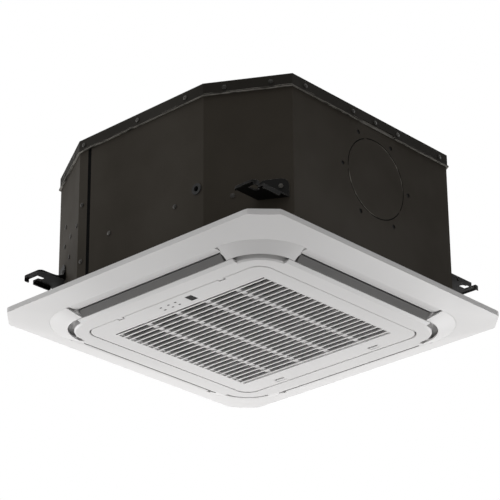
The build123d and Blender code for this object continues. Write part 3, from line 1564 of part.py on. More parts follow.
# ================================================================ intake grille
slat_pitch = 2 * slat_field_y / slat_rows
slat_lean = slat_depth * tan(radians(slat_tilt))
plate_top = face_z + grille_face
with BuildPart() as intake_grille:
    with BuildSketch(Plane.XY.offset(face_z)):
        rounded(grille_half, grille_r)
    extrude(amount=grille_skirt_top - face_z)
    fillet(intake_grille.edges().group_by(Axis.Z)[0], grille_edge_round)
    with BuildSketch(Plane.XY.offset(plate_top)):
        rounded(grille_half - grille_face, grille_r - grille_face)
    extrude(amount=grille_skirt_top - plate_top, mode=Mode.SUBTRACT)
    with BuildSketch(Plane.XY.offset(face_z)):
        Rectangle(2 * slat_field_x, 2 * slat_field_y)
    extrude(amount=grille_face, mode=Mode.SUBTRACT)
    # louvres, leaning over the height of the grille
    for row in range(slat_rows):
        slat_y = -slat_field_y + (row + 0.5) * slat_pitch
        with BuildSketch(Plane.YZ):
            Polygon(
                (slat_y - slat_width / 2 - slat_lean / 2, face_z),
                (slat_y + slat_width / 2 - slat_lean / 2, face_z),
                (slat_y + slat_tip / 2 + slat_lean / 2, face_z + slat_depth),
                (slat_y - slat_tip / 2 + slat_lean / 2, face_z + slat_depth),
                align=None,
            )
        extrude(amount=slat_field_x, both=True)
    # ribs between the columns, and a kerb round the field that carries the louvres' ends
    with BuildSketch(Plane.XY.offset(face_z + slat_rib_inset)):
        with GridLocations(2 * slat_field_x / slat_columns, 0, slat_columns - 1, 1):
            Rectangle(slat_rib, 2 * slat_field_y)
        Rectangle(2 * slat_field_x + 2 * grille_face, 2 * slat_field_y + 4 * grille_face)
        with GridLocations(2 * slat_field_x / slat_columns, 0, slat_columns, 1):
            Rectangle(
                2 * slat_field_x / slat_columns - slat_rib,
                2 * slat_field_y,
                mode=Mode.SUBTRACT,
            )
    extrude(amount=slat_rib_height - slat_rib_inset)
    # lamps, receiver window and latch slots
    with BuildSketch(Plane.XY.offset(face_z)):
        with Locations([(x, y) for x in led_x for y in led_y]):
            Rectangle(led_width, led_depth)
        with Locations((window_x, window_y)):
            Rectangle(window_width, window_depth)
        for x in (-latch_x, latch_x):
            patch(x - latch_width / 2, x + latch_width / 2, latch_near, latch_far)
    extrude(amount=grille_face, mode=Mode.SUBTRACT)
    with BuildSketch(Plane.XY.offset(tongue_z - latch_fit)):
        for x in (-latch_x, latch_x):
            reach = latch_tongue_width / 2 + latch_fit
            patch(x - reach, x + reach, grille_half - 2 * grille_face, grille_half)
    extrude(amount=latch_tongue + 2 * latch_fit, mode=Mode.SUBTRACT)
    # rails that hold each latch down
    for x in (-latch_x, latch_x):
        for side in (-1, 1):
            rail_in = x + side * (latch_width / 2 + latch_flange + latch_fit)
            with BuildSketch(Plane.XY.offset(plate_top)):
                patch(rail_in, rail_in + side * latch_rail, latch_near, latch_far)
            extrude(amount=latch_flange + 2 * latch_fit + latch_rail)
        with BuildSketch(Plane.XY.offset(plate_top + latch_flange + 2 * latch_fit)):
            patch(x - abs(rail_in - x), x + abs(rail_in - x), latch_near, latch_near + latch_bridge)
        extrude(amount=latch_rail)
    # hinge notches with the pins across them
    with BuildSketch(Plane.XY.offset(face_z)):
        for x in (-hinge_x, hinge_x):
            with Locations((x, -grille_half + hinge_notch_depth / 2)):
                Rectangle(hinge_notch, hinge_notch_depth)
    extrude(amount=grille_skirt_top - face_z, mode=Mode.SUBTRACT)
    for x in (-hinge_x, hinge_x):
        with BuildSketch(Plane(origin=(x, hinge_y, hinge_z), z_dir=(1, 0, 0))):
            Circle(hinge_pin_r)
        extrude(amount=hinge_notch / 2 + hinge_pin_r, both=True)
    # posts for the receiver board
    with BuildSketch(Plane.XY.offset(plate_top)):
        with Locations([(x, window_y) for x in board_posts]):
            Circle(latch_rail)
    extrude(amount=receiver_z - plate_top)
intake_grille.part.label = "intake_grille"
export_step(intake_grille.part, "parts/intake_grille.step")

for latch_name, x in (("latch_left", -latch_x), ("latch_right", latch_x)):
    with BuildPart() as latch:
        knob_near = latch_near + latch_travel + latch_fit
        knob_half = latch_width / 2 - latch_fit
        with BuildSketch(Plane.XY.offset(face_z + latch_fit)):
            patch(x - knob_half, x + knob_half, knob_near, latch_far - latch_fit)
        extrude(amount=grille_face)
        with BuildSketch(Plane.XY.offset(tongue_z)):
            flange_half = latch_width / 2 + latch_flange
            patch(x - flange_half, x + flange_half, knob_near, latch_far + latch_fit)
            tongue_half = latch_tongue_width / 2
            patch(x - tongue_half, x + tongue_half, latch_far, latch_reach)
        extrude(amount=latch_tongue)
    latch.part.label = latch_name
    export_step(latch.part, f"parts/{latch_name}.step")

with BuildPart() as air_filter:
    filter_z = face_z + slat_rib_height + filter_seat
    with BuildSketch(Plane.XY.offset(filter_z)):
        Rectangle(2 * filter_half_x, 2 * filter_half_y)
        net_x = 2 * filter_half_x - 2 * filter_frame
        net_y = 2 * filter_half_y - 2 * filter_frame
        Rectangle(net_x, net_y, mode=Mode.SUBTRACT)
    extrude(amount=filter_thick)
    with BuildSketch(Plane.XY.offset(filter_z)):
        Rectangle(net_x + filter_net, net_y + filter_net)
        step_x, step_y = net_x / filter_gaps_x, net_y / filter_gaps_y
        with GridLocations(step_x, step_y, filter_gaps_x, filter_gaps_y):
            Rectangle(step_x - filter_wire, step_y - filter_wire, mode=Mode.SUBTRACT)
    extrude(amount=filter_net)
air_filter.part.label = "air_filter"
export_step(air_filter.part, "parts/air_filter.step")

with BuildPart() as led_lenses:
    with BuildSketch(Plane.XY.offset(face_z + lens_fit)):
        with Locations([(x, y) for x in led_x for y in led_y]):
            Rectangle(led_width - 2 * lens_fit, led_depth - 2 * lens_fit)
    extrude(amount=grille_face - lens_fit)
    with BuildSketch(Plane.XY.offset(plate_top)):
        with Locations([(x, y) for x in led_x for y in led_y]):
            Rectangle(led_width + lens_step, led_depth + lens_step)
    extrude(amount=lens_step)
led_lenses.part.label = "led_lenses"
export_step(led_lenses.part, "parts/led_lenses.step")

with BuildPart() as receiver_window:
    with BuildSketch(Plane.XY.offset(face_z + lens_fit)):
        with Locations((window_x, window_y)):
            Rectangle(window_width - 2 * lens_fit, window_depth - 2 * lens_fit)
    extrude(amount=grille_face - lens_fit)
    with BuildSketch(Plane.XY.offset(plate_top)):
        with Locations((window_x, window_y)):
            Rectangle(window_width + lens_step, window_depth + lens_step)
    extrude(amount=lens_step)
receiver_window.part.label = "receiver_window"
export_step(receiver_window.part, "parts/receiver_window.step")

with BuildPart() as receiver_circuit:
    with BuildSketch(Plane.XY.offset(receiver_z)):
        patch(
            board_posts[0] - lens_step * 2,
            board_posts[1] + lens_step * 2,
            window_y - window_depth / 2,
            window_y + window_depth / 2,
        )
    extrude(amount=receiver_board)
    with BuildSketch(Plane.XY.offset(receiver_z - lens_step)):
        with Locations((window_x, window_y)):
            Rectangle(window_width / 2, window_width / 2)
    extrude(amount=lens_step)
receiver_circuit.part.label = "receiver_circuit"
export_step(receiver_circuit.part, "parts/receiver_circuit.step")
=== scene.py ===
import json
import math

import bmesh
import bpy
from mathutils import Matrix, Vector


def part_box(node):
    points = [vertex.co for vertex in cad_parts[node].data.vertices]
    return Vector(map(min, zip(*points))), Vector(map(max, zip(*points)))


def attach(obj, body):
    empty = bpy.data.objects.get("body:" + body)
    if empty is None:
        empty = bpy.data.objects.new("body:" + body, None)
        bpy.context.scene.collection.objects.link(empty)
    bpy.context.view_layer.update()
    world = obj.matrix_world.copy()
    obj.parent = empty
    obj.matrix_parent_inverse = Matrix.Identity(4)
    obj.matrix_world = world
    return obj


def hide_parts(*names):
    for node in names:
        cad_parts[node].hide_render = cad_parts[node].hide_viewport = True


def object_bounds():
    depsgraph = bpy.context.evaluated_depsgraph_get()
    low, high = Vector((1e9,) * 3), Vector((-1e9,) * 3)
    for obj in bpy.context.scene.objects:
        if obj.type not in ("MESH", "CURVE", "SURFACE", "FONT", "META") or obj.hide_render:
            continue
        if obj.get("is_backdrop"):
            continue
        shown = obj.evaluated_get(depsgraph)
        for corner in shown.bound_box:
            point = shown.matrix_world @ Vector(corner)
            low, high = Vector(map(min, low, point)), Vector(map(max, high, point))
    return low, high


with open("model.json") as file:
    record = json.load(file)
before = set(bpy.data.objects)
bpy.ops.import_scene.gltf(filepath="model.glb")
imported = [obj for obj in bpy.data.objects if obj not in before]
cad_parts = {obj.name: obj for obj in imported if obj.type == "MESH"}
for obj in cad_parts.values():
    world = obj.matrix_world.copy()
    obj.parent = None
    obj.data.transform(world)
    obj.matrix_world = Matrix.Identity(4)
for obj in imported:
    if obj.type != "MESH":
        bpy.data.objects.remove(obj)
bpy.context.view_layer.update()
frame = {"nodes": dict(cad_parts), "record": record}
nodes = frame["nodes"]
print("frame loaded:", len(nodes), "nodes")

mm = 0.001


# ---- camera, lights and floor

cameraSetup = {
    "place": (2.42812, -2.64396, -1.53531),
    "azimuth": 42.639,      # degrees from -Y towards +X
    "elevation": -24.858,   # the picture is taken from below
    "roll": -0.507,
    "lens": 158.85,
    "sensor": 36.0,
    "clip": (0.05, 60),
}


def buildCamera(setup):
    data = bpy.data.cameras.new("camera")
    data.lens = setup["lens"]
    data.sensor_width = setup["sensor"]
    data.clip_start, data.clip_end = setup["clip"]
    camera = bpy.data.objects.new("camera", data)
    bpy.context.scene.collection.objects.link(camera)
    azimuth = math.radians(setup["azimuth"])
    elevation = math.radians(setup["elevation"])
    roll = math.radians(setup["roll"])
    back = Vector((
        math.sin(azimuth) * math.cos(elevation),
        -math.cos(azimuth) * math.cos(elevation),
        math.sin(elevation),
    ))
    right = (-back).cross(Vector((0, 0, 1))).normalized()
    up = right.cross(-back)
    rolledRight = right * math.cos(roll) + up * math.sin(roll)
    rolledUp = up * math.cos(roll) - right * math.sin(roll)
    turn = Matrix((rolledRight, rolledUp, back)).transposed()
    camera.matrix_world = Matrix.Translation(setup["place"]) @ turn.to_4x4()
    bpy.context.scene.camera = camera
    return camera


lightSetup = {
    "fill": {"place": (3.0, -3.4, -1.2), "size": 3.2, "power": 15, "aim": (0, 0, 0.1)},
    "left": {"place": (-3.6, -2.6, 0.8), "size": 2.6, "power": 46, "aim": (0, 0, 0.1)},
    "top": {"place": (0.4, -1.0, 3.6), "size": 3.2, "power": 55, "aim": (0, 0, 0.2)},
    "back": {"place": (0.5, 4.2, 1.4), "size": 2.8, "power": 45, "aim": (0, 0, 0.1)},
    "leftLow": {"place": (-1.15, -0.1, -0.7), "size": 0.6, "power": 10, "aim": (-0.15, 0.1, -0.03)},
    "rightLow": {"place": (0.1, 1.15, -0.7), "size": 0.6, "power": 9.4, "aim": (-0.1, 0.15, -0.03)},
}


def buildLights(setup):
    for name, one in setup.items():
        data = bpy.data.lights.new(name, "AREA")
        data.size = one["size"]
        data.energy = one["power"]
        lamp = bpy.data.objects.new(name, data)
        bpy.context.scene.collection.objects.link(lamp)
        lamp.location = one["place"]
        aim = Vector(one["aim"]) - Vector(one["place"])
        lamp.rotation_euler = aim.to_track_quat("-Z", "Y").to_euler()
        lamp.visible_camera = False


worldSetup = {"ambient": 0.27, "backdrop": 1.0}


# 1 where the camera looks, in reflections and through glass.
def seenRays(tree):
    path = tree.nodes.new("ShaderNodeLightPath")
    seen = path.outputs["Is Camera Ray"]
    for ray in ("Is Glossy Ray", "Is Transmission Ray"):
        seen = mathNode(tree, "MAXIMUM", seen, path.outputs[ray])
    return seen


def buildWorld(setup):
    world = bpy.data.worlds.new("studio")
    bpy.context.scene.world = world
    world.use_nodes = True
    tree = world.node_tree
    tree.nodes.clear()
    output = tree.nodes.new("ShaderNodeOutputWorld")
    shades = {}
    for name, strength in setup.items():
        shades[name] = tree.nodes.new("ShaderNodeBackground")
        shades[name].inputs["Color"].default_value = (1, 1, 1, 1)
        shades[name].inputs["Strength"].default_value = strength
    mix = tree.nodes.new("ShaderNodeMixShader")
    tree.links.new(seenRays(tree), mix.inputs["Fac"])
    tree.links.new(shades["ambient"].outputs[0], mix.inputs[1])
    tree.links.new(shades["backdrop"].outputs[0], mix.inputs[2])
    tree.links.new(mix.outputs[0], output.inputs["Surface"])


floorSetup = {
    "half": 9.0,
    "drop": 2.6,
    "colour": (0.8, 0.8, 0.8),
    "roughness": 0.9,
    "glow": 0.55,            # keeps the floor pale without lighting the unit
}


# The room's floor lies far below, and is clear when it is looked at from underneath.
def buildFloor(setup):
    mesh = bpy.data.meshes.new("floor")
    half, z = setup["half"], -setup["drop"]
    ring = [(-half, -half, z), (half, -half, z), (half, half, z), (-half, half, z)]
    mesh.from_pydata(ring, [], [(0, 1, 2, 3)])
    floor = bpy.data.objects.new("floor", mesh)
    bpy.context.scene.collection.objects.link(floor)
    material = bpy.data.materials.new("floorPaint")
    material.use_nodes = True
    tree = material.node_tree
    tree.nodes.clear()
    output = tree.nodes.new("ShaderNodeOutputMaterial")
    shader = tree.nodes.new("ShaderNodeBsdfPrincipled")
    shader.inputs["Base Color"].default_value = (*setup["colour"], 1)
    shader.inputs["Roughness"].default_value = setup["roughness"]
    shader.inputs["Emission Color"].default_value = (1, 1, 1, 1)
    glow = mathNode(tree, "MULTIPLY", seenRays(tree), setup["glow"])
    tree.links.new(glow, shader.inputs["Emission Strength"])
    clear = tree.nodes.new("ShaderNodeBsdfTransparent")
    geometry = tree.nodes.new("ShaderNodeNewGeometry")
    mix = tree.nodes.new("ShaderNodeMixShader")
    tree.links.new(geometry.outputs["Backfacing"], mix.inputs["Fac"])
    tree.links.new(shader.outputs[0], mix.inputs[1])
    tree.links.new(clear.outputs[0], mix.inputs[2])
    tree.links.new(mix.outputs[0], output.inputs["Surface"])
    mesh.materials.append(material)
    floor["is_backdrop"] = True


# ---- small helpers for node trees

def plug(tree, value, socket):
    if isinstance(value, (int, float)):
        socket.default_value = value
    else:
        tree.links.new(value, socket)


def mathNode(tree, operation, first, second=None, clamp=False):
    node = tree.nodes.new("ShaderNodeMath")
    node.operation = operation
    node.use_clamp = clamp
    for index, value in enumerate((first, second)):
        if value is not None:
            plug(tree, value, node.inputs[index])
    return node.outputs[0]


def rangeNode(tree, value, low, high, toLow=0.0, toHigh=1.0):
    node = tree.nodes.new("ShaderNodeMapRange")
    node.inputs["From Min"].default_value = low
    node.inputs["From Max"].default_value = high
    node.inputs["To Min"].default_value = toLow
    node.inputs["To Max"].default_value = toHigh
    tree.links.new(value, node.inputs["Value"])
    return node.outputs["Result"]


def bandMask(tree, value, low, high, soft):    # 1 between low and high, with soft ends
    rise = rangeNode(tree, value, low - soft, low + soft)
    fall = rangeNode(tree, value, high - soft, high + soft, 1.0, 0.0)
    return mathNode(tree, "MULTIPLY", rise, fall, True)


def objectCoordinates(tree):
    return tree.nodes.new("ShaderNodeTexCoord").outputs["Object"]


def noiseNode(tree, vector, scale, detail=2.0, roughness=0.5):
    node = tree.nodes.new("ShaderNodeTexNoise")
    tree.links.new(vector, node.inputs["Vector"])
    plug(tree, scale, node.inputs["Scale"])
    node.inputs["Detail"].default_value = detail
    node.inputs["Roughness"].default_value = roughness
    return node.outputs["Fac"]


def mixColour(tree, factor, first, second):
    node = tree.nodes.new("ShaderNodeMix")
    node.data_type = "RGBA"
    colours = [socket for socket in node.inputs if socket.type == "RGBA"]
    for socket, value in zip(colours, (first, second)):
        if isinstance(value, tuple):
            socket.default_value = (*value, 1)
        else:
            tree.links.new(value, socket)
    amount = [socket for socket in node.inputs if socket.name == "Factor" and socket.type == "VALUE"]
    plug(tree, factor, amount[0])
    return [socket for socket in node.outputs if socket.type == "RGBA"][0]


buildCamera(cameraSetup)
buildLights(lightSetup)
buildWorld(worldSetup)
buildFloor(floorSetup)
bpy.context.scene.view_settings.view_transform = "Standard"
print("camera, lights and floor are in place")


# ---- shader groups that several finishes share

def newGroup(name, inputs, outputs):
    tree = bpy.data.node_groups.new(name, "ShaderNodeTree")
    for socketName, value in inputs.items():
        socket = tree.interface.new_socket(socketName, in_out="INPUT", socket_type="NodeSocketFloat")
        socket.default_value = value
    for socketName in outputs:
        tree.interface.new_socket(socketName, in_out="OUTPUT", socket_type="NodeSocketFloat")
    return tree, tree.nodes.new("NodeGroupInput"), tree.nodes.new("NodeGroupOutput")


def groupNode(tree, group, values):
    node = tree.nodes.new("ShaderNodeGroup")
    node.node_tree = group
    for name, value in values.items():
        node.inputs[name].default_value = value
    return node


noiseRange = (0.3, 0.7)      # most of a noise's values lie between these

grainSetup = {
    "inputs": {"Grain Scale": 1400.0, "Blotch Scale": 9.0, "Strength": 0.5},
    "fine": (3.0, 0.6),      # detail and roughness of the noises
    "coarse": (4.0, 0.55),
}
wearAndHighlightSetup = {
    "inputs": {"Edge Width": 0.0008, "Edge Breakup": 120.0, "Dust Amount": 0.3},
    "bevelSamples": 4,
    "edge": (0.995, 0.9),    # cosine of the bend at which the brighter edge (rubbed wear and painted highlight) starts, and is full
    "breakupDetail": 3.0,
    "breakup": (0.35, 0.6),
    "facing": (0.3, 1.0),    # upward share of the normal from which dust lies
    "speckleScale": 60.0,
    "speckle": (5.0, 0.7),
    "speckleRange": (0.35, 0.75),
}


# Fine surface grain and soft blotches, for moulded plastic and sprayed paint.
def grainGroup(setup):
    tree, start, end = newGroup("surfaceGrain", setup["inputs"], ("Height", "Blotch"))
    where = objectCoordinates(tree)
    fine = noiseNode(tree, where, start.outputs["Grain Scale"], *setup["fine"])
    coarse = noiseNode(tree, where, start.outputs["Blotch Scale"], *setup["coarse"])
    height = mathNode(tree, "MULTIPLY", fine, start.outputs["Strength"])
    tree.links.new(height, end.inputs["Height"])
    tree.links.new(rangeNode(tree, coarse, *noiseRange), end.inputs["Blotch"])
    return tree


# Brighter edges, partly rubbed wear and partly painted highlights where edges catch the light, and a
# little dust that settles on faces that look up.
def wearAndHighlightGroup(setup):
    tree, start, end = newGroup("edgeHighlightsWearAndDust", setup["inputs"], ("Edge", "Dust"))
    where = objectCoordinates(tree)
    bevel = tree.nodes.new("ShaderNodeBevel")
    bevel.samples = setup["bevelSamples"]
    tree.links.new(start.outputs["Edge Width"], bevel.inputs["Radius"])
    geometry = tree.nodes.new("ShaderNodeNewGeometry")
    dot = tree.nodes.new("ShaderNodeVectorMath")
    dot.operation = "DOT_PRODUCT"
    tree.links.new(bevel.outputs["Normal"], dot.inputs[0])
    tree.links.new(geometry.outputs["Normal"], dot.inputs[1])
    edge = rangeNode(tree, dot.outputs["Value"], *setup["edge"])
    chips = noiseNode(tree, where, start.outputs["Edge Breakup"], setup["breakupDetail"])
    breakup = rangeNode(tree, chips, *setup["breakup"])
    tree.links.new(mathNode(tree, "MULTIPLY", edge, breakup, True), end.inputs["Edge"])
    split = tree.nodes.new("ShaderNodeSeparateXYZ")
    tree.links.new(geometry.outputs["Normal"], split.inputs[0])
    facing = rangeNode(tree, split.outputs["Z"], *setup["facing"])
    grit = noiseNode(tree, where, setup["speckleScale"], *setup["speckle"])
    speckle = rangeNode(tree, grit, *setup["speckleRange"])
    dust = mathNode(tree, "MULTIPLY", facing, speckle, True)
    dust = mathNode(tree, "MULTIPLY", dust, start.outputs["Dust Amount"], True)
    tree.links.new(dust, end.inputs["Dust"])
    return tree


grain = grainGroup(grainSetup)
wearAndHighlight = wearAndHighlightGroup(wearAndHighlightSetup)


# ---- painted highlights on edges that belong to one finish only, each a mask on Object coordinates

hemHighlightMark = {
    "bands": ((269.7, 270.8), (273.0, 274.0)),    # Z of the two painted highlight lines along the folded hem, mm
    "soft": 0.18,
    "wander": 0.6,          # how far the lines run up and down
    "wanderScale": 26,
    "wanderDetail": 1.0,
    "breakup": 95,
    "breakupDetail": 3.0,
    "breakupRange": (0.25, 0.6, 0.35, 1.0),
    "strength": 0.95,
    "lowerShare": 0.5,      # how bright the lower line is beside the upper one
    "colour": (0.50, 0.475, 0.43),
}
discEdgeHighlightMark = {
    "centre": (6.0, 172.7),  # Y and Z of the knock-out, mm
    "ring": (71.8, 73.1),    # painted highlight on the disc's sheared edge, partly bare metal
    "soft": 0.2,
    "highlightQuarters": (0.0, 1800.0),    # square mm, Y offset times Z offset where the painted highlight shows
    "breakup": 55,
    "breakupDetail": 2.0,
    "breakupRange": (0.4, 0.6, 0.25, 1.0),
    "strength": 0.7,
    "colour": (0.34, 0.32, 0.28),
}


# Two wavering lines on the rim: painted highlights where the folded hem's edges catch the light, partly
# the bare cut edge.
def hemHighlightMask(tree, mark):
    where = objectCoordinates(tree)
    split = tree.nodes.new("ShaderNodeSeparateXYZ")
    tree.links.new(where, split.inputs[0])
    waves = noiseNode(tree, where, mark["wanderScale"], mark["wanderDetail"])
    shift = rangeNode(tree, waves, *noiseRange, -mark["wander"] * mm, mark["wander"] * mm)
    height = mathNode(tree, "ADD", split.outputs["Z"], shift)
    soft = mark["soft"] * mm
    first, second = (bandMask(tree, height, low * mm, high * mm, soft) for low, high in mark["bands"])
    lines = mathNode(tree, "MAXIMUM", mathNode(tree, "MULTIPLY", first, mark["lowerShare"]), second)
    chips = noiseNode(tree, where, mark["breakup"], mark["breakupDetail"])
    breakup = rangeNode(tree, chips, *mark["breakupRange"])
    return mathNode(tree, "MULTIPLY", lines, breakup, True)


# A ring round the knock-out, lit in two opposite quarters only: a painted highlight on the sheared edge.
def discEdgeHighlightMask(tree, mark):
    where = objectCoordinates(tree)
    split = tree.nodes.new("ShaderNodeSeparateXYZ")
    tree.links.new(where, split.inputs[0])
    offsets = [
        mathNode(tree, "SUBTRACT", split.outputs[axis], middle * mm)
        for axis, middle in zip(("Y", "Z"), mark["centre"])
    ]
    squares = [mathNode(tree, "MULTIPLY", offset, offset) for offset in offsets]
    reach = mathNode(tree, "SQRT", mathNode(tree, "ADD", *squares))
    low, high = (value * mm * mm for value in mark["highlightQuarters"])
    highlightQuarters = rangeNode(tree, mathNode(tree, "MULTIPLY", *offsets), low, high)
    low, high = mark["ring"]
    ring = bandMask(tree, reach, low * mm, high * mm, mark["soft"] * mm)
    chips = noiseNode(tree, where, mark["breakup"], mark["breakupDetail"])
    breakup = rangeNode(tree, chips, *mark["breakupRange"])
    ring = mathNode(tree, "MULTIPLY", ring, highlightQuarters, True)
    return mathNode(tree, "MULTIPLY", ring, breakup, True)


# ---- finishes

plainLook = {                # what a finish has unless its own look says otherwise
    "roughness": 0.5,
    "roughnessSpread": 0.06,
    "metallic": 0.0,
    "specular": 0.5,
    "grain": 0.5,
    "grainScale": 1400,
    "blotchScale": 9,
    "bump": 0.25,
    "bumpDepth": 0.05,       # mm
    "edge": 0.3,
    "edgeWearAndHighlightColour": (0.5, 0.49, 0.47),
    "edgeWidth": 0.8,        # mm
    "edgeBreakup": 120,
    "dust": 0.2,
    "dustColour": (0.42, 0.4, 0.37),
}
blotchShade = 0.9            # the blotches' darker colour, as a share of the base colour


# look holds the finish's base colour, shine, grain, edges brightened by wear and painted highlight, and
# dust, and may name a mark.
def finish(name, look):
    look = {**plainLook, **look}
    material = bpy.data.materials.new(name)
    material.use_nodes = True
    tree = material.node_tree
    tree.nodes.clear()
    output = tree.nodes.new("ShaderNodeOutputMaterial")
    shader = tree.nodes.new("ShaderNodeBsdfPrincipled")
    tree.links.new(shader.outputs[0], output.inputs["Surface"])
    grainNode = groupNode(tree, grain, {
        "Grain Scale": look["grainScale"],
        "Blotch Scale": look["blotchScale"],
        "Strength": look["grain"],
    })
    wearAndHighlightNode = groupNode(tree, wearAndHighlight, {
        "Edge Width": look["edgeWidth"] * mm,
        "Edge Breakup": look["edgeBreakup"],
        "Dust Amount": look["dust"],
    })
    base = look["colour"]
    shade = look.get("shade", tuple(blotchShade * part for part in base))
    colour = mixColour(tree, grainNode.outputs["Blotch"], shade, base)
    edgeFactor = mathNode(tree, "MULTIPLY", wearAndHighlightNode.outputs["Edge"], look["edge"], True)
    colour = mixColour(tree, edgeFactor, colour, look["edgeWearAndHighlightColour"])
    if "mark" in look:
        mask, mark = look["mark"]
        amount = mathNode(tree, "MULTIPLY", mask(tree, mark), mark["strength"], True)
        colour = mixColour(tree, amount, colour, mark["colour"])
    colour = mixColour(tree, wearAndHighlightNode.outputs["Dust"], colour, look["dustColour"])
    tree.links.new(colour, shader.inputs["Base Color"])
    shine = look["roughness"]
    spread = look["roughnessSpread"]
    tree.links.new(
        rangeNode(tree, grainNode.outputs["Blotch"], 0, 1, shine + spread, shine - spread),
        shader.inputs["Roughness"],
    )
    shader.inputs["Metallic"].default_value = look["metallic"]
    shader.inputs["Specular IOR Level"].default_value = look["specular"]
    bump = tree.nodes.new("ShaderNodeBump")
    bump.inputs["Strength"].default_value = look["bump"]
    bump.inputs["Distance"].default_value = look["bumpDepth"] * mm
    tree.links.new(grainNode.outputs["Height"], bump.inputs["Height"])
    tree.links.new(bump.outputs["Normal"], shader.inputs["Normal"])
    return material


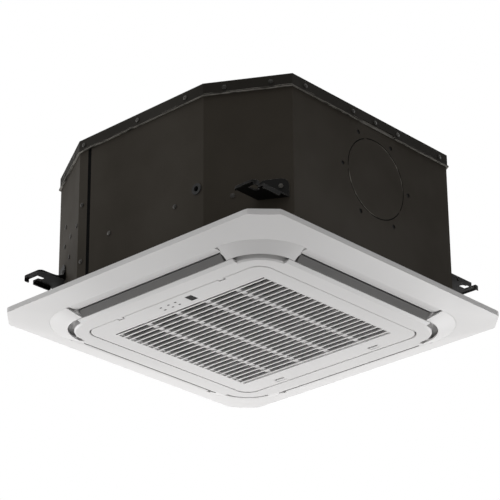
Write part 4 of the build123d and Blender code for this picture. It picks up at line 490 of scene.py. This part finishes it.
casingLook = {
    "colour": (0.0360, 0.0305, 0.0235), "shade": (0.0290, 0.0245, 0.0188), "specular": 0.09,
    "roughness": 0.72, "roughnessSpread": 0.09, "grainScale": 900, "grain": 0.6, "blotchScale": 5,
    "edge": 0.3, "edgeWearAndHighlightColour": (0.09, 0.085, 0.075), "dust": 0.16, "bump": 0.3,
}
looks = {
    "casing_paint": casingLook,
    # the casing's paint, darker, with the hem's painted highlight lines
    "rimPaintWithHemHighlights": {
        **casingLook, "colour": (0.0175, 0.0155, 0.0122), "shade": (0.0132, 0.0116, 0.0093),
        "dust": 0.05, "mark": (hemHighlightMask, hemHighlightMark),
    },
    # the casing's paint with the painted highlight round the knock-out
    "discPaintEdgeHighlight": {**casingLook, "mark": (discEdgeHighlightMask, discEdgeHighlightMark)},
    # bright edges: painted highlights where the plate's cut edges catch the light
    "bracket_paint": {
        "colour": (0.0048, 0.0045, 0.0042), "roughness": 0.5, "specular": 0.08, "grainScale": 1100,
        "edge": 0.9, "edgeWidth": 0.35, "edgeWearAndHighlightColour": (0.40, 0.38, 0.35), "dust": 0.02,
    },
    # the rim's paint made lighter: painted highlight on the lip under the arch
    "hemHighlightPaint": {
        "colour": (0.085, 0.077, 0.064), "shade": (0.038, 0.034, 0.028), "roughness": 0.5,
        "blotchScale": 60, "specular": 0.2, "edge": 0.4, "edgeWearAndHighlightColour": (0.22, 0.21, 0.19),
        "dust": 0.1,
    },
    # black for pieces put where there is only shade: painted shadow in the wall joints and behind the
    # knock-out's slot
    "paintedShadowBlack": {
        "colour": (0.0015, 0.0015, 0.0015), "roughness": 0.85, "specular": 0.03, "blotchScale": 70,
        "edge": 0.0, "dust": 0.0,
    },
    "zinc": {
        "colour": (0.30, 0.29, 0.26), "shade": (0.22, 0.21, 0.20), "metallic": 1.0, "roughness": 0.36,
        "blotchScale": 160, "edge": 0.3, "edgeWearAndHighlightColour": (0.7, 0.7, 0.68), "dust": 0.15,
    },
    # bright edges: painted highlights on the heads' rims
    "screwBlack": {
        "colour": (0.070, 0.066, 0.060), "shade": (0.004, 0.0036, 0.0032), "metallic": 0.3,
        "roughness": 0.42, "specular": 0.12, "blotchScale": 22, "edge": 0.6,
        "edgeWearAndHighlightColour": (0.22, 0.21, 0.19), "dust": 0.03,
    },
    "black_rubber": {
        "colour": (0.010, 0.010, 0.010), "roughness": 0.75, "specular": 0.3, "grain": 0.8,
        "edge": 0.1, "dust": 0.2,
    },
    "black_plastic": {"colour": (0.014, 0.014, 0.014), "roughness": 0.5, "edge": 0.15, "dust": 0.3},
    "foam": {
        "colour": (0.030, 0.030, 0.031), "shade": (0.022, 0.022, 0.023), "roughness": 0.92,
        "grainScale": 320, "grain": 1.0, "bump": 0.7, "bumpDepth": 0.4, "blotchScale": 40,
        "edge": 0.1, "dust": 0.2,
    },
    "fan_plastic": {"colour": (0.018, 0.018, 0.019), "roughness": 0.45, "edge": 0.2, "dust": 0.25},
    "steel": {
        "colour": (0.36, 0.36, 0.35), "metallic": 1.0, "roughness": 0.34, "blotchScale": 70,
        "edge": 0.3, "dust": 0.15,
    },
    "fins": {
        "colour": (0.42, 0.44, 0.46), "metallic": 1.0, "roughness": 0.4, "blotchScale": 30,
        "edge": 0.2, "dust": 0.2,
    },
    "copper": {
        "colour": (0.55, 0.26, 0.15), "shade": (0.38, 0.17, 0.10), "metallic": 1.0,
        "roughness": 0.32, "blotchScale": 60, "edge": 0.2, "edgeWearAndHighlightColour": (0.8, 0.5, 0.35),
        "dust": 0.1,
    },
    "brass": {
        "colour": (0.60, 0.45, 0.20), "metallic": 1.0, "roughness": 0.28, "blotchScale": 80,
        "edge": 0.3, "edgeWearAndHighlightColour": (0.85, 0.72, 0.42), "dust": 0.1,
    },
    "panel_plastic": {
        "colour": (0.66, 0.65, 0.645), "shade": (0.62, 0.611, 0.606), "roughness": 0.45,
        "specular": 0.3, "grainScale": 1600, "grain": 0.5, "blotchScale": 4, "edge": 0.12,
        "edgeWearAndHighlightColour": (0.8, 0.79, 0.785), "dust": 0.15, "bump": 0.2,
    },
    # darker grey than the panel's plastic: painted shade on the vanes sunk in their slots
    "vane_plastic": {
        "colour": (0.155, 0.152, 0.149), "shade": (0.135, 0.132, 0.129), "roughness": 0.5,
        "specular": 0.3, "grainScale": 1600, "blotchScale": 6, "edge": 0.1,
        "edgeWearAndHighlightColour": (0.4, 0.4, 0.4), "dust": 0.1,
    },
    "grey_plastic": {"colour": (0.34, 0.34, 0.335), "roughness": 0.45, "edge": 0.15, "dust": 0.15},
    "filterNet": {
        "colour": (0.016, 0.016, 0.016), "roughness": 0.7, "specular": 0.2, "edge": 0.1, "dust": 0.1,
    },
    "board": {
        "colour": (0.02, 0.10, 0.035), "shade": (0.015, 0.075, 0.028), "roughness": 0.35,
        "blotchScale": 240, "edge": 0.2, "dust": 0.1,
    },
    "lens": {
        "colour": (0.024, 0.023, 0.022), "roughness": 0.4, "specular": 0.15, "edge": 0.0, "dust": 0.0,
    },
    "windowTint": {
        "colour": (0.013, 0.012, 0.012), "roughness": 0.4, "specular": 0.08, "edge": 0.0,
        "dust": 0.0,
    },
}
finishes = {name: finish(name, look) for name, look in looks.items()}

ownFinish = {                # nodes whose finish differs from their slot's
    "air_filter": "filterNet",
    "receiver_window": "windowTint",
    "top_cover": "rimPaintWithHemHighlights",
    "knockout_disc": "discPaintEdgeHighlight",
    "latch_left": "panel_plastic",
    "latch_right": "panel_plastic",
}
slotOf = {entry["node"]: entry["material_slot"] for entry in frame["record"]["subparts"]}
for name, node in nodes.items():
    node.data.materials.clear()
    node.data.materials.append(finishes[ownFinish.get(name, slotOf[name])])
print("finishes are on", len(nodes), "nodes")


# ---- helpers for the pieces that are made here

def newObject(name, mesh):
    made = bpy.data.objects.new(name, mesh)
    bpy.context.scene.collection.objects.link(made)
    return made


def geometryTree(name, inputs):
    tree = bpy.data.node_groups.new(name, "GeometryNodeTree")
    tree.interface.new_socket("Geometry", in_out="INPUT", socket_type="NodeSocketGeometry")
    for socketName, value in inputs.items():
        kind = "NodeSocketInt" if isinstance(value, int) else "NodeSocketFloat"
        socket = tree.interface.new_socket(socketName, in_out="INPUT", socket_type=kind)
        socket.default_value = value
    tree.interface.new_socket("Material", in_out="INPUT", socket_type="NodeSocketMaterial")
    tree.interface.new_socket("Geometry", in_out="OUTPUT", socket_type="NodeSocketGeometry")
    return tree, tree.nodes.new("NodeGroupInput"), tree.nodes.new("NodeGroupOutput")


# Adds a node and sets its inputs by name: numbers and vectors as values, sockets as links.
def addNode(tree, kind, settings=None, **values):
    node = tree.nodes.new(kind)
    for key, value in (settings or {}).items():
        setattr(node, key, value)
    for key, value in values.items():
        name = key.replace("_", " ")
        socket = [one for one in node.inputs if one.name == name and one.enabled][0]
        if isinstance(value, bpy.types.NodeSocket):
            tree.links.new(value, socket)
        else:
            socket.default_value = value
    return node


def endTree(tree, start, end, geometry):       # real meshes with the piece's material
    real = addNode(tree, "GeometryNodeRealizeInstances", Geometry=geometry)
    painted = addNode(
        tree, "GeometryNodeSetMaterial", Geometry=real.outputs[0], Material=start.outputs["Material"]
    )
    tree.links.new(painted.outputs[0], end.inputs["Geometry"])


def growPiece(name, seedMesh, tree, values, finishName):
    piece = newObject(name, seedMesh)
    modifier = piece.modifiers.new(tree.name, "NODES")
    modifier.node_group = tree
    given = {**values, "Material": finishes[finishName]}
    for item in tree.interface.items_tree:
        if item.in_out == "INPUT" and item.name in given:
            modifier[item.identifier] = given[item.name]
    graph = bpy.context.evaluated_depsgraph_get()
    grown = bpy.data.meshes.new_from_object(piece.evaluated_get(graph), depsgraph=graph)
    piece.modifiers.remove(modifier)
    piece.data = grown
    bpy.data.meshes.remove(seedMesh)
    return piece


def meshFrom(name, points, edges=(), vectors=None):
    mesh = bpy.data.meshes.new(name)
    mesh.from_pydata(points, edges, [])
    for attribute, values in (vectors or {}).items():
        layer = mesh.attributes.new(attribute, "FLOAT_VECTOR", "POINT")
        layer.data.foreach_set("vector", [part for value in values for part in value])
    return mesh


# Joins rings of points with faces; the last ring joins the first, or both ends are closed.
def skinRings(mesh, rings, loop=False):
    for first, second in zip(rings, rings[1:] + rings[:1] if loop else rings[1:]):
        for index in range(len(first)):
            following = (index + 1) % len(first)
            mesh.faces.new((first[index], first[following], second[following], second[index]))
    if not loop:
        mesh.faces.new(rings[0][::-1])
        mesh.faces.new(rings[-1])
    bmesh.ops.recalc_face_normals(mesh, faces=mesh.faces)


# Turns a finished bmesh into an object of its own.
def objectFrom(name, built, finishName):
    mesh = bpy.data.meshes.new(name)
    built.to_mesh(mesh)
    built.free()
    mesh.materials.append(finishes[finishName])
    return newObject(name, mesh)


# ---- screws: one head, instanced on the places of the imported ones

screwSetup = {
    "Head Radius": 4.0 * mm,
    "Head Height": 2.2 * mm,
    "Dome": 0.9 * mm,
    "Shank Radius": 1.7 * mm,
    "Shank Length": 5.8 * mm,
    "Recess Length": 3.8 * mm,
    "Recess Width": 0.95 * mm,
    "Recess Depth": 1.1 * mm,
    "Seed": 7,
}
screwMesh = {"headSides": 24, "headRings": 3, "shankSides": 12, "domePower": 2.0}
shankSink = 0.49             # the shank's middle lies this share of its length below the head's seat


def screwTree(setup):
    tree, start, end = geometryTree("screwHeads", setup)
    size = start.outputs
    half = mathNode(tree, "MULTIPLY", size["Head Height"], 0.5)
    blank = addNode(
        tree, "GeometryNodeMeshCylinder", Vertices=screwMesh["headSides"],
        Fill_Segments=screwMesh["headRings"], Radius=size["Head Radius"], Depth=size["Head Height"],
    )
    lift = addNode(tree, "ShaderNodeCombineXYZ", Z=half)
    standing = addNode(
        tree, "GeometryNodeTransform", Geometry=blank.outputs["Mesh"], Translation=lift.outputs[0]
    )
    # the upper face falls away towards its edge as a dome
    place = addNode(tree, "GeometryNodeInputPosition")
    split = addNode(tree, "ShaderNodeSeparateXYZ", Vector=place.outputs[0])
    flat = addNode(tree, "ShaderNodeCombineXYZ", X=split.outputs["X"], Y=split.outputs["Y"])
    reach = addNode(tree, "ShaderNodeVectorMath", {"operation": "LENGTH"}, Vector=flat.outputs[0])
    share = mathNode(tree, "DIVIDE", reach.outputs["Value"], size["Head Radius"])
    curve = mathNode(tree, "POWER", share, screwMesh["domePower"])
    fall = mathNode(tree, "MULTIPLY", curve, size["Dome"])
    down = addNode(tree, "ShaderNodeCombineXYZ", Z=mathNode(tree, "MULTIPLY", fall, -1.0))
    domed = addNode(
        tree, "GeometryNodeSetPosition", Geometry=standing.outputs[0],
        Selection=mathNode(tree, "GREATER_THAN", split.outputs["Z"], half), Offset=down.outputs[0],
    )
    bars = []
    for along in ("X", "Y"):
        across = "Y" if along == "X" else "X"
        barSize = addNode(tree, "ShaderNodeCombineXYZ", Z=size["Recess Depth"])
        tree.links.new(size["Recess Length"], barSize.inputs[along])
        tree.links.new(size["Recess Width"], barSize.inputs[across])
        cube = addNode(tree, "GeometryNodeMeshCube", Size=barSize.outputs[0])
        top = addNode(tree, "ShaderNodeCombineXYZ", Z=size["Head Height"])
        bars.append(addNode(
            tree, "GeometryNodeTransform", Geometry=cube.outputs["Mesh"], Translation=top.outputs[0]
        ))
    cut = addNode(tree, "GeometryNodeMeshBoolean", {"operation": "DIFFERENCE"})
    tree.links.new(domed.outputs[0], cut.inputs[0])
    for bar in bars:
        tree.links.new(bar.outputs[0], cut.inputs[1])
    shank = addNode(
        tree, "GeometryNodeMeshCylinder", Vertices=screwMesh["shankSides"],
        Radius=size["Shank Radius"], Depth=size["Shank Length"],
    )
    sunk = mathNode(tree, "MULTIPLY", size["Shank Length"], -shankSink)
    below = addNode(tree, "ShaderNodeCombineXYZ", Z=sunk)
    shankDown = addNode(
        tree, "GeometryNodeTransform", Geometry=shank.outputs["Mesh"], Translation=below.outputs[0]
    )
    screw = addNode(tree, "GeometryNodeJoinGeometry")
    tree.links.new(cut.outputs[0], screw.inputs[0])
    tree.links.new(shankDown.outputs[0], screw.inputs[0])
    # each screw looks out of its wall and is turned by its own angle
    aim = addNode(tree, "GeometryNodeInputNamedAttribute", {"data_type": "FLOAT_VECTOR"}, Name="aim")
    facing = addNode(
        tree, "FunctionNodeAlignRotationToVector", {"axis": "Z"}, Vector=aim.outputs["Attribute"]
    )
    angle = addNode(
        tree, "FunctionNodeRandomValue", {"data_type": "FLOAT"}, Min=0.0, Max=math.pi,
        Seed=size["Seed"],
    )
    angleOut = [one for one in angle.outputs if one.enabled][0]
    spin = addNode(tree, "FunctionNodeAxisAngleToRotation", Axis=(0, 0, 1), Angle=angleOut)
    turned = addNode(
        tree, "FunctionNodeRotateRotation", {"rotation_space": "LOCAL"},
        Rotation=facing.outputs[0], Rotate_By=spin.outputs[0],
    )
    spots = addNode(tree, "GeometryNodeMeshToPoints", Mesh=start.outputs["Geometry"])
    placed = addNode(
        tree, "GeometryNodeInstanceOnPoints", Points=spots.outputs[0], Instance=screw.outputs[0],
        Rotation=turned.outputs[0],
    )
    endTree(tree, start, end, placed.outputs[0])
    return tree


samePoint = 1e-6             # metres


def looseParts(node):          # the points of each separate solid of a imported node
    copy = bmesh.new()
    copy.from_mesh(node.data)
    bmesh.ops.remove_doubles(copy, verts=copy.verts, dist=samePoint)
    seen, groups = set(), []
    for vertex in copy.verts:
        if vertex in seen:
            continue
        stack, group = [vertex], []
        seen.add(vertex)
        while stack:
            current = stack.pop()
            group.append(current.co.copy())
            for edge in current.link_edges:
                other = edge.other_vert(current)
                if other not in seen:
                    seen.add(other)
                    stack.append(other)
        groups.append(group)
    copy.free()
    return groups


# The walls' outward directions: four flat sides, and four cut corners. The drip tray fills the
# triangle outside one of those corners, so its two sides give their slope.
def wallDirections():
    tray = [h - l for l, h in zip(*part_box("pipe_drip_tray"))]
    slope = Vector((tray[1], tray[0], 0)).normalized()
    flats = [Vector(one) for one in ((1, 0, 0), (-1, 0, 0), (0, 1, 0), (0, -1, 0))]
    return flats + [Vector((x * slope.x, y * slope.y, 0)) for x in (1, -1) for y in (1, -1)]


# The direction that leaves a screw's points nearest to one line is its axis.
def screwPlaces(node, headHeight):
    places, aims = [], []
    for group in looseParts(node):
        middle = sum(group, Vector()) / len(group)
        spread = {}
        for index, way in enumerate(wallWays):
            offsets = [point - middle for point in group]
            spread[index] = max((offset - offset.dot(way) * way).length for offset in offsets)
        way = wallWays[min(spread, key=spread.get)]
        if way.dot(Vector((middle.x, middle.y, 0))) < 0:
            way = -way
        top = max((point - middle).dot(way) for point in group)
        places.append(middle + way * (top - headHeight))
        aims.append(way)
    return places, aims


wallWays = wallDirections()
screws = screwTree(screwSetup)
for pieceName, nodeName in (("rimScrewHeads", "rim_screws"), ("wallScrewHeads", "wall_screws")):
    places, aims = screwPlaces(nodes[nodeName], screwSetup["Head Height"])
    seedMesh = meshFrom(pieceName, places, vectors={"aim": aims})
    piece = growPiece(pieceName, seedMesh, screws, screwSetup, "screwBlack")
    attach(piece, "root")
    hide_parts(nodeName)
    print(pieceName, "has", len(places), "screws")


# ---- heat exchanger: thin fins along its path, and copper tubes through them

coilSetup = {
    "middle": 204.0,         # mm from the unit's middle to the middle of the coil
    "bend": 35.0,            # radius of the route's three bends
    "ends": -112.0,          # X where it starts, and minus the Y where it ends
    "rows": [60 + 24 * row for row in range(9)],      # Z of the tubes
    "columns": (-8.0, 8.0),
    "step": 6.0,
    "bendParts": 8,
    "inside": 0.6,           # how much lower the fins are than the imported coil
}
finSetup = {"Fin Depth": 34.8 * mm, "Fin Height": 1.0, "Fin Thickness": 0.25 * mm, "Pitch": 2.6 * mm}
tubeSetup = {"Tube Radius": 4.0 * mm, "Sides": 10}
cubeFaces = 6


# Points of the coil's route, offset outward, from the end by the gas header round to the other end.
def coilRoute(setup, offset, z):
    half, bend = setup["middle"] + offset, setup["bend"] + offset
    inner = half - bend
    route = [(setup["ends"], half)]
    for quarter, (centreX, centreY) in enumerate(((inner, inner), (inner, -inner), (-inner, -inner))):
        for part in range(setup["bendParts"] + 1):
            angle = math.radians(90 - 90 * (quarter + part / setup["bendParts"]))
            route.append((centreX + bend * math.cos(angle), centreY + bend * math.sin(angle)))
    route.append((-half, -setup["ends"]))
    points = []
    for (x1, y1), (x2, y2) in zip(route, route[1:]):
        count = max(1, round(math.hypot(x2 - x1, y2 - y1) / setup["step"]))
        points += [(x1 + (x2 - x1) * i / count, y1 + (y2 - y1) * i / count) for i in range(count)]
    points.append(route[-1])
    return [Vector((x, y, z)) * mm for x, y in points]


def chain(lines):
    points, edges = [], []
    for line in lines:
        edges += [(len(points) + i, len(points) + i + 1) for i in range(len(line) - 1)]
        points += line
    return points, edges


def finTree(setup):
    tree, start, end = geometryTree("coilFins", setup)
    size = start.outputs
    route = addNode(tree, "GeometryNodeMeshToCurve", Mesh=size["Geometry"])
    stations = addNode(
        tree, "GeometryNodeResampleCurve", {"mode": "LENGTH"}, Curve=route.outputs[0],
        Length=size["Pitch"],
    )
    finSize = addNode(
        tree, "ShaderNodeCombineXYZ", X=size["Fin Depth"], Y=size["Fin Thickness"], Z=size["Fin Height"]
    )
    fin = addNode(tree, "GeometryNodeMeshCube", Size=finSize.outputs[0])
    tangent = addNode(tree, "GeometryNodeInputTangent")
    across = addNode(
        tree, "FunctionNodeAlignRotationToVector", {"axis": "Y", "pivot_axis": "Z"},
        Vector=tangent.outputs[0],
    )
    placed = addNode(
        tree, "GeometryNodeInstanceOnPoints", Points=stations.outputs[0],
        Instance=fin.outputs["Mesh"], Rotation=across.outputs[0],
    )
    endTree(tree, start, end, placed.outputs[0])
    return tree


def tubeTree(setup):
    tree, start, end = geometryTree("coilTubes", setup)
    size = start.outputs
    route = addNode(tree, "GeometryNodeMeshToCurve", Mesh=size["Geometry"])
    ring = addNode(
        tree, "GeometryNodeCurvePrimitiveCircle", {"mode": "RADIUS"}, Resolution=size["Sides"],
        Radius=size["Tube Radius"],
    )
    tubes = addNode(
        tree, "GeometryNodeCurveToMesh", Curve=route.outputs[0], Profile_Curve=ring.outputs[0],
        Fill_Caps=True,
    )
    endTree(tree, start, end, tubes.outputs[0])
    return tree


coilLow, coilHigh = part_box("coil")
coilMiddleZ = (coilLow[2] + coilHigh[2]) / 2 / mm
finSetup["Fin Height"] = coilHigh[2] - coilLow[2] - coilSetup["inside"] * mm
routePoints, routeEdges = chain([coilRoute(coilSetup, 0.0, coilMiddleZ)])
fins = growPiece(
    "coilFins", meshFrom("coilFins", routePoints, routeEdges), finTree(finSetup), finSetup, "fins"
)
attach(fins, "root")
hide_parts("coil")
tubeLines = [
    coilRoute(coilSetup, offset, z) for z in coilSetup["rows"] for offset in coilSetup["columns"]
]
tubePoints, tubeEdges = chain(tubeLines)
tubes = growPiece(
    "coilTubes", meshFrom("coilTubes", tubePoints, tubeEdges), tubeTree(tubeSetup), tubeSetup,
    "copper",
)
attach(tubes, "root")
print("coil has", len(fins.data.polygons) // cubeFaces, "fins and", len(tubeLines), "tubes")


# ---- air filter's net: fine wires both ways inside the filter's frame

netSetup = {"Wire": 0.3 * mm, "pitch": 2.0, "margin": 6.0}      # pitch and margin in mm


def netTree(setup):
    tree, start, end = geometryTree("filterNet", {"Wire": setup["Wire"]})
    spots = addNode(tree, "GeometryNodeMeshToPoints", Mesh=start.outputs["Geometry"])
    span = addNode(tree, "GeometryNodeInputNamedAttribute", {"data_type": "FLOAT_VECTOR"}, Name="span")
    cube = addNode(tree, "GeometryNodeMeshCube", Size=(1, 1, 1))
    wire = addNode(
        tree, "ShaderNodeCombineXYZ", X=start.outputs["Wire"], Y=start.outputs["Wire"],
        Z=start.outputs["Wire"],
    )
    grown = addNode(tree, "ShaderNodeVectorMath", {"operation": "MAXIMUM"})
    tree.links.new(span.outputs["Attribute"], grown.inputs[0])
    tree.links.new(wire.outputs[0], grown.inputs[1])
    placed = addNode(
        tree, "GeometryNodeInstanceOnPoints", Points=spots.outputs[0],
        Instance=cube.outputs["Mesh"], Scale=grown.outputs[0],
    )
    endTree(tree, start, end, placed.outputs[0])
    return tree


filterLow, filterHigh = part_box("air_filter")
margin = netSetup["margin"] * mm
netZ = (filterLow[2] + filterHigh[2]) / 2
netPoints, netSpans = [], []
for axis in (0, 1):
    low, high = filterLow[axis] + margin, filterHigh[axis] - margin
    count = round((high - low) / (netSetup["pitch"] * mm))
    other = 1 - axis
    length = filterHigh[other] - filterLow[other] - 2 * margin
    for index in range(1, count):
        place, span = [0, 0, netZ + (axis - 0.5) * netSetup["Wire"]], [0, 0, 0]
        place[axis] = low + (high - low) * index / count
        place[other] = (filterLow[other] + filterHigh[other]) / 2
        span[other] = length
        netPoints.append(place)
        netSpans.append(span)
net = growPiece(
    "filterNet", meshFrom("filterNet", netPoints, vectors={"span": netSpans}), netTree(netSetup),
    {"Wire": netSetup["Wire"]}, "filterNet",
)
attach(net, "filter")
print("filter net has", len(netPoints), "wires")


# ---- black beads in the open joints between the wall sheets: painted shadow standing for the joints' depth

jointShadowSetup = {
    "gap": 4.5,              # mm, the joint's width
    "half": 3.8,             # half the bead's width; it laps over the sheets' edges
    "front": 285.15,         # distance of the bead's face from the middle
    "back": 283.55,
    "low": 21.6,
    "high": 290.5,
    "levels": 46,
    "sag": 0.08,
    "across": (-1.0, -0.5, 0.0, 0.5, 1.0),
    "ripple": (0.6, 1.7, 0.45),    # share of the sag, and two steps of angle from level to level
}


# A bead with a hollow face: a profile across the joint at many heights.
def jointShadowBead(setup, place, side):
    mesh = bmesh.new()
    rings = []
    rise, quick, slow = setup["ripple"]
    for level in range(setup["levels"]):
        z = setup["low"] + (setup["high"] - setup["low"]) * level / (setup["levels"] - 1)
        hollow = setup["sag"] * (1 + rise * math.sin(quick * level + place) * math.sin(slow * level))
        ring = []
        for across in setup["across"]:
            depth = setup["front"] - hollow * (1 - across * across)
            ring.append((place + across * setup["half"], depth))
        ring += [(place + setup["half"], setup["back"]), (place - setup["half"], setup["back"])]
        rings.append([mesh.verts.new(side(along * mm, out * mm, z * mm)) for along, out in ring])
    skinRings(mesh, rings)
    return mesh


def jointPlaces():             # middles of the three joints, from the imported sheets' own edges
    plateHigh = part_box("corner_plate")[1]
    half = jointShadowSetup["gap"] / 2
    return {
        "sealantFront": (plateHigh[0] / mm + half, lambda along, out, z: (along, -out, z)),
        "sealantLeft": (plateHigh[1] / mm + half, lambda along, out, z: (-out, along, z)),
        "sealantRear": (-(plateHigh[0] / mm + half), lambda along, out, z: (along, out, z)),
    }


for name, (place, side) in jointPlaces().items():
    bead = objectFrom(name, jointShadowBead(jointShadowSetup, place, side), "paintedShadowBlack")
    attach(bead, "root")
print("sealant is in the joints")


# ---- black ring behind the slot round the knock-out: painted shadow in the slot

discShadowRingSetup = {
    "centre": discEdgeHighlightMark["centre"],
    "inner": 71.0,           # mm, its two radii
    "outer": 77.0,
    "front": 284.2,          # X of its two faces
    "back": 283.9,
    "around": 72,
}


def discShadowRing(setup):
    mesh = bmesh.new()
    middleY, middleZ = setup["centre"]
    rings = []
    for part in range(setup["around"]):
        angle = 2 * math.pi * part / setup["around"]
        ring = []
        for edge, face in (("inner", "front"), ("outer", "front"), ("outer", "back"), ("inner", "back")):
            y = middleY + setup[edge] * math.cos(angle)
            z = middleZ + setup[edge] * math.sin(angle)
            ring.append(mesh.verts.new(Vector((setup[face], y, z)) * mm))
        rings.append(ring)
    skinRings(mesh, rings, loop=True)
    return mesh


knockoutShadow = objectFrom("knockoutShadowRing", discShadowRing(discShadowRingSetup), "paintedShadowBlack")
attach(knockoutShadow, "root")
print("seal is behind the knock-out")


# ---- curled lip under the arch in the rim, over the knock-out

archSetup = {
    "middle": 14.0,          # mm along Y
    "low": (47.5, 269.4),    # half width and Z of the lower edge
    "high": (42.0, 276.6),
    "wall": 285.02,
    "curl": 1.1,             # how far its lower edge stands out
    "steps": 28,
    "rows": 6,
    "fade": 3,               # power at which the curl dies away towards both ends
    "thick": 0.35,
}


def archLip(setup):
    mesh = bmesh.new()
    (lowHalf, lowZ), (highHalf, highZ) = setup["low"], setup["high"]
    profile = []
    for index in range(setup["rows"] + 1):
        share = index / setup["rows"]
        profile.append((share, setup["curl"] * (1 - share) ** 2))
    rings = []
    for step in range(setup["steps"] + 1):
        along = 2 * step / setup["steps"] - 1
        swell = 1 - abs(along) ** setup["fade"]
        ring = []
        for share, curl in profile:
            half = lowHalf + (highHalf - lowHalf) * share
            outward = setup["wall"] + setup["thick"] + curl * swell
            ring.append((outward, setup["middle"] + half * along, lowZ + (highZ - lowZ) * share))
        back = [(setup["wall"], y, z) for _, y, z in reversed(ring)]
        rings.append([mesh.verts.new(Vector(point) * mm) for point in ring + back])
    skinRings(mesh, rings)
    return mesh


# its finish is lighter than the rim's paint: a painted highlight on the lip
lip = objectFrom("archLip", archLip(archSetup), "hemHighlightPaint")
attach(lip, "root")
print("the arch's lip is in place")

low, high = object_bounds()
print("all pieces are made")
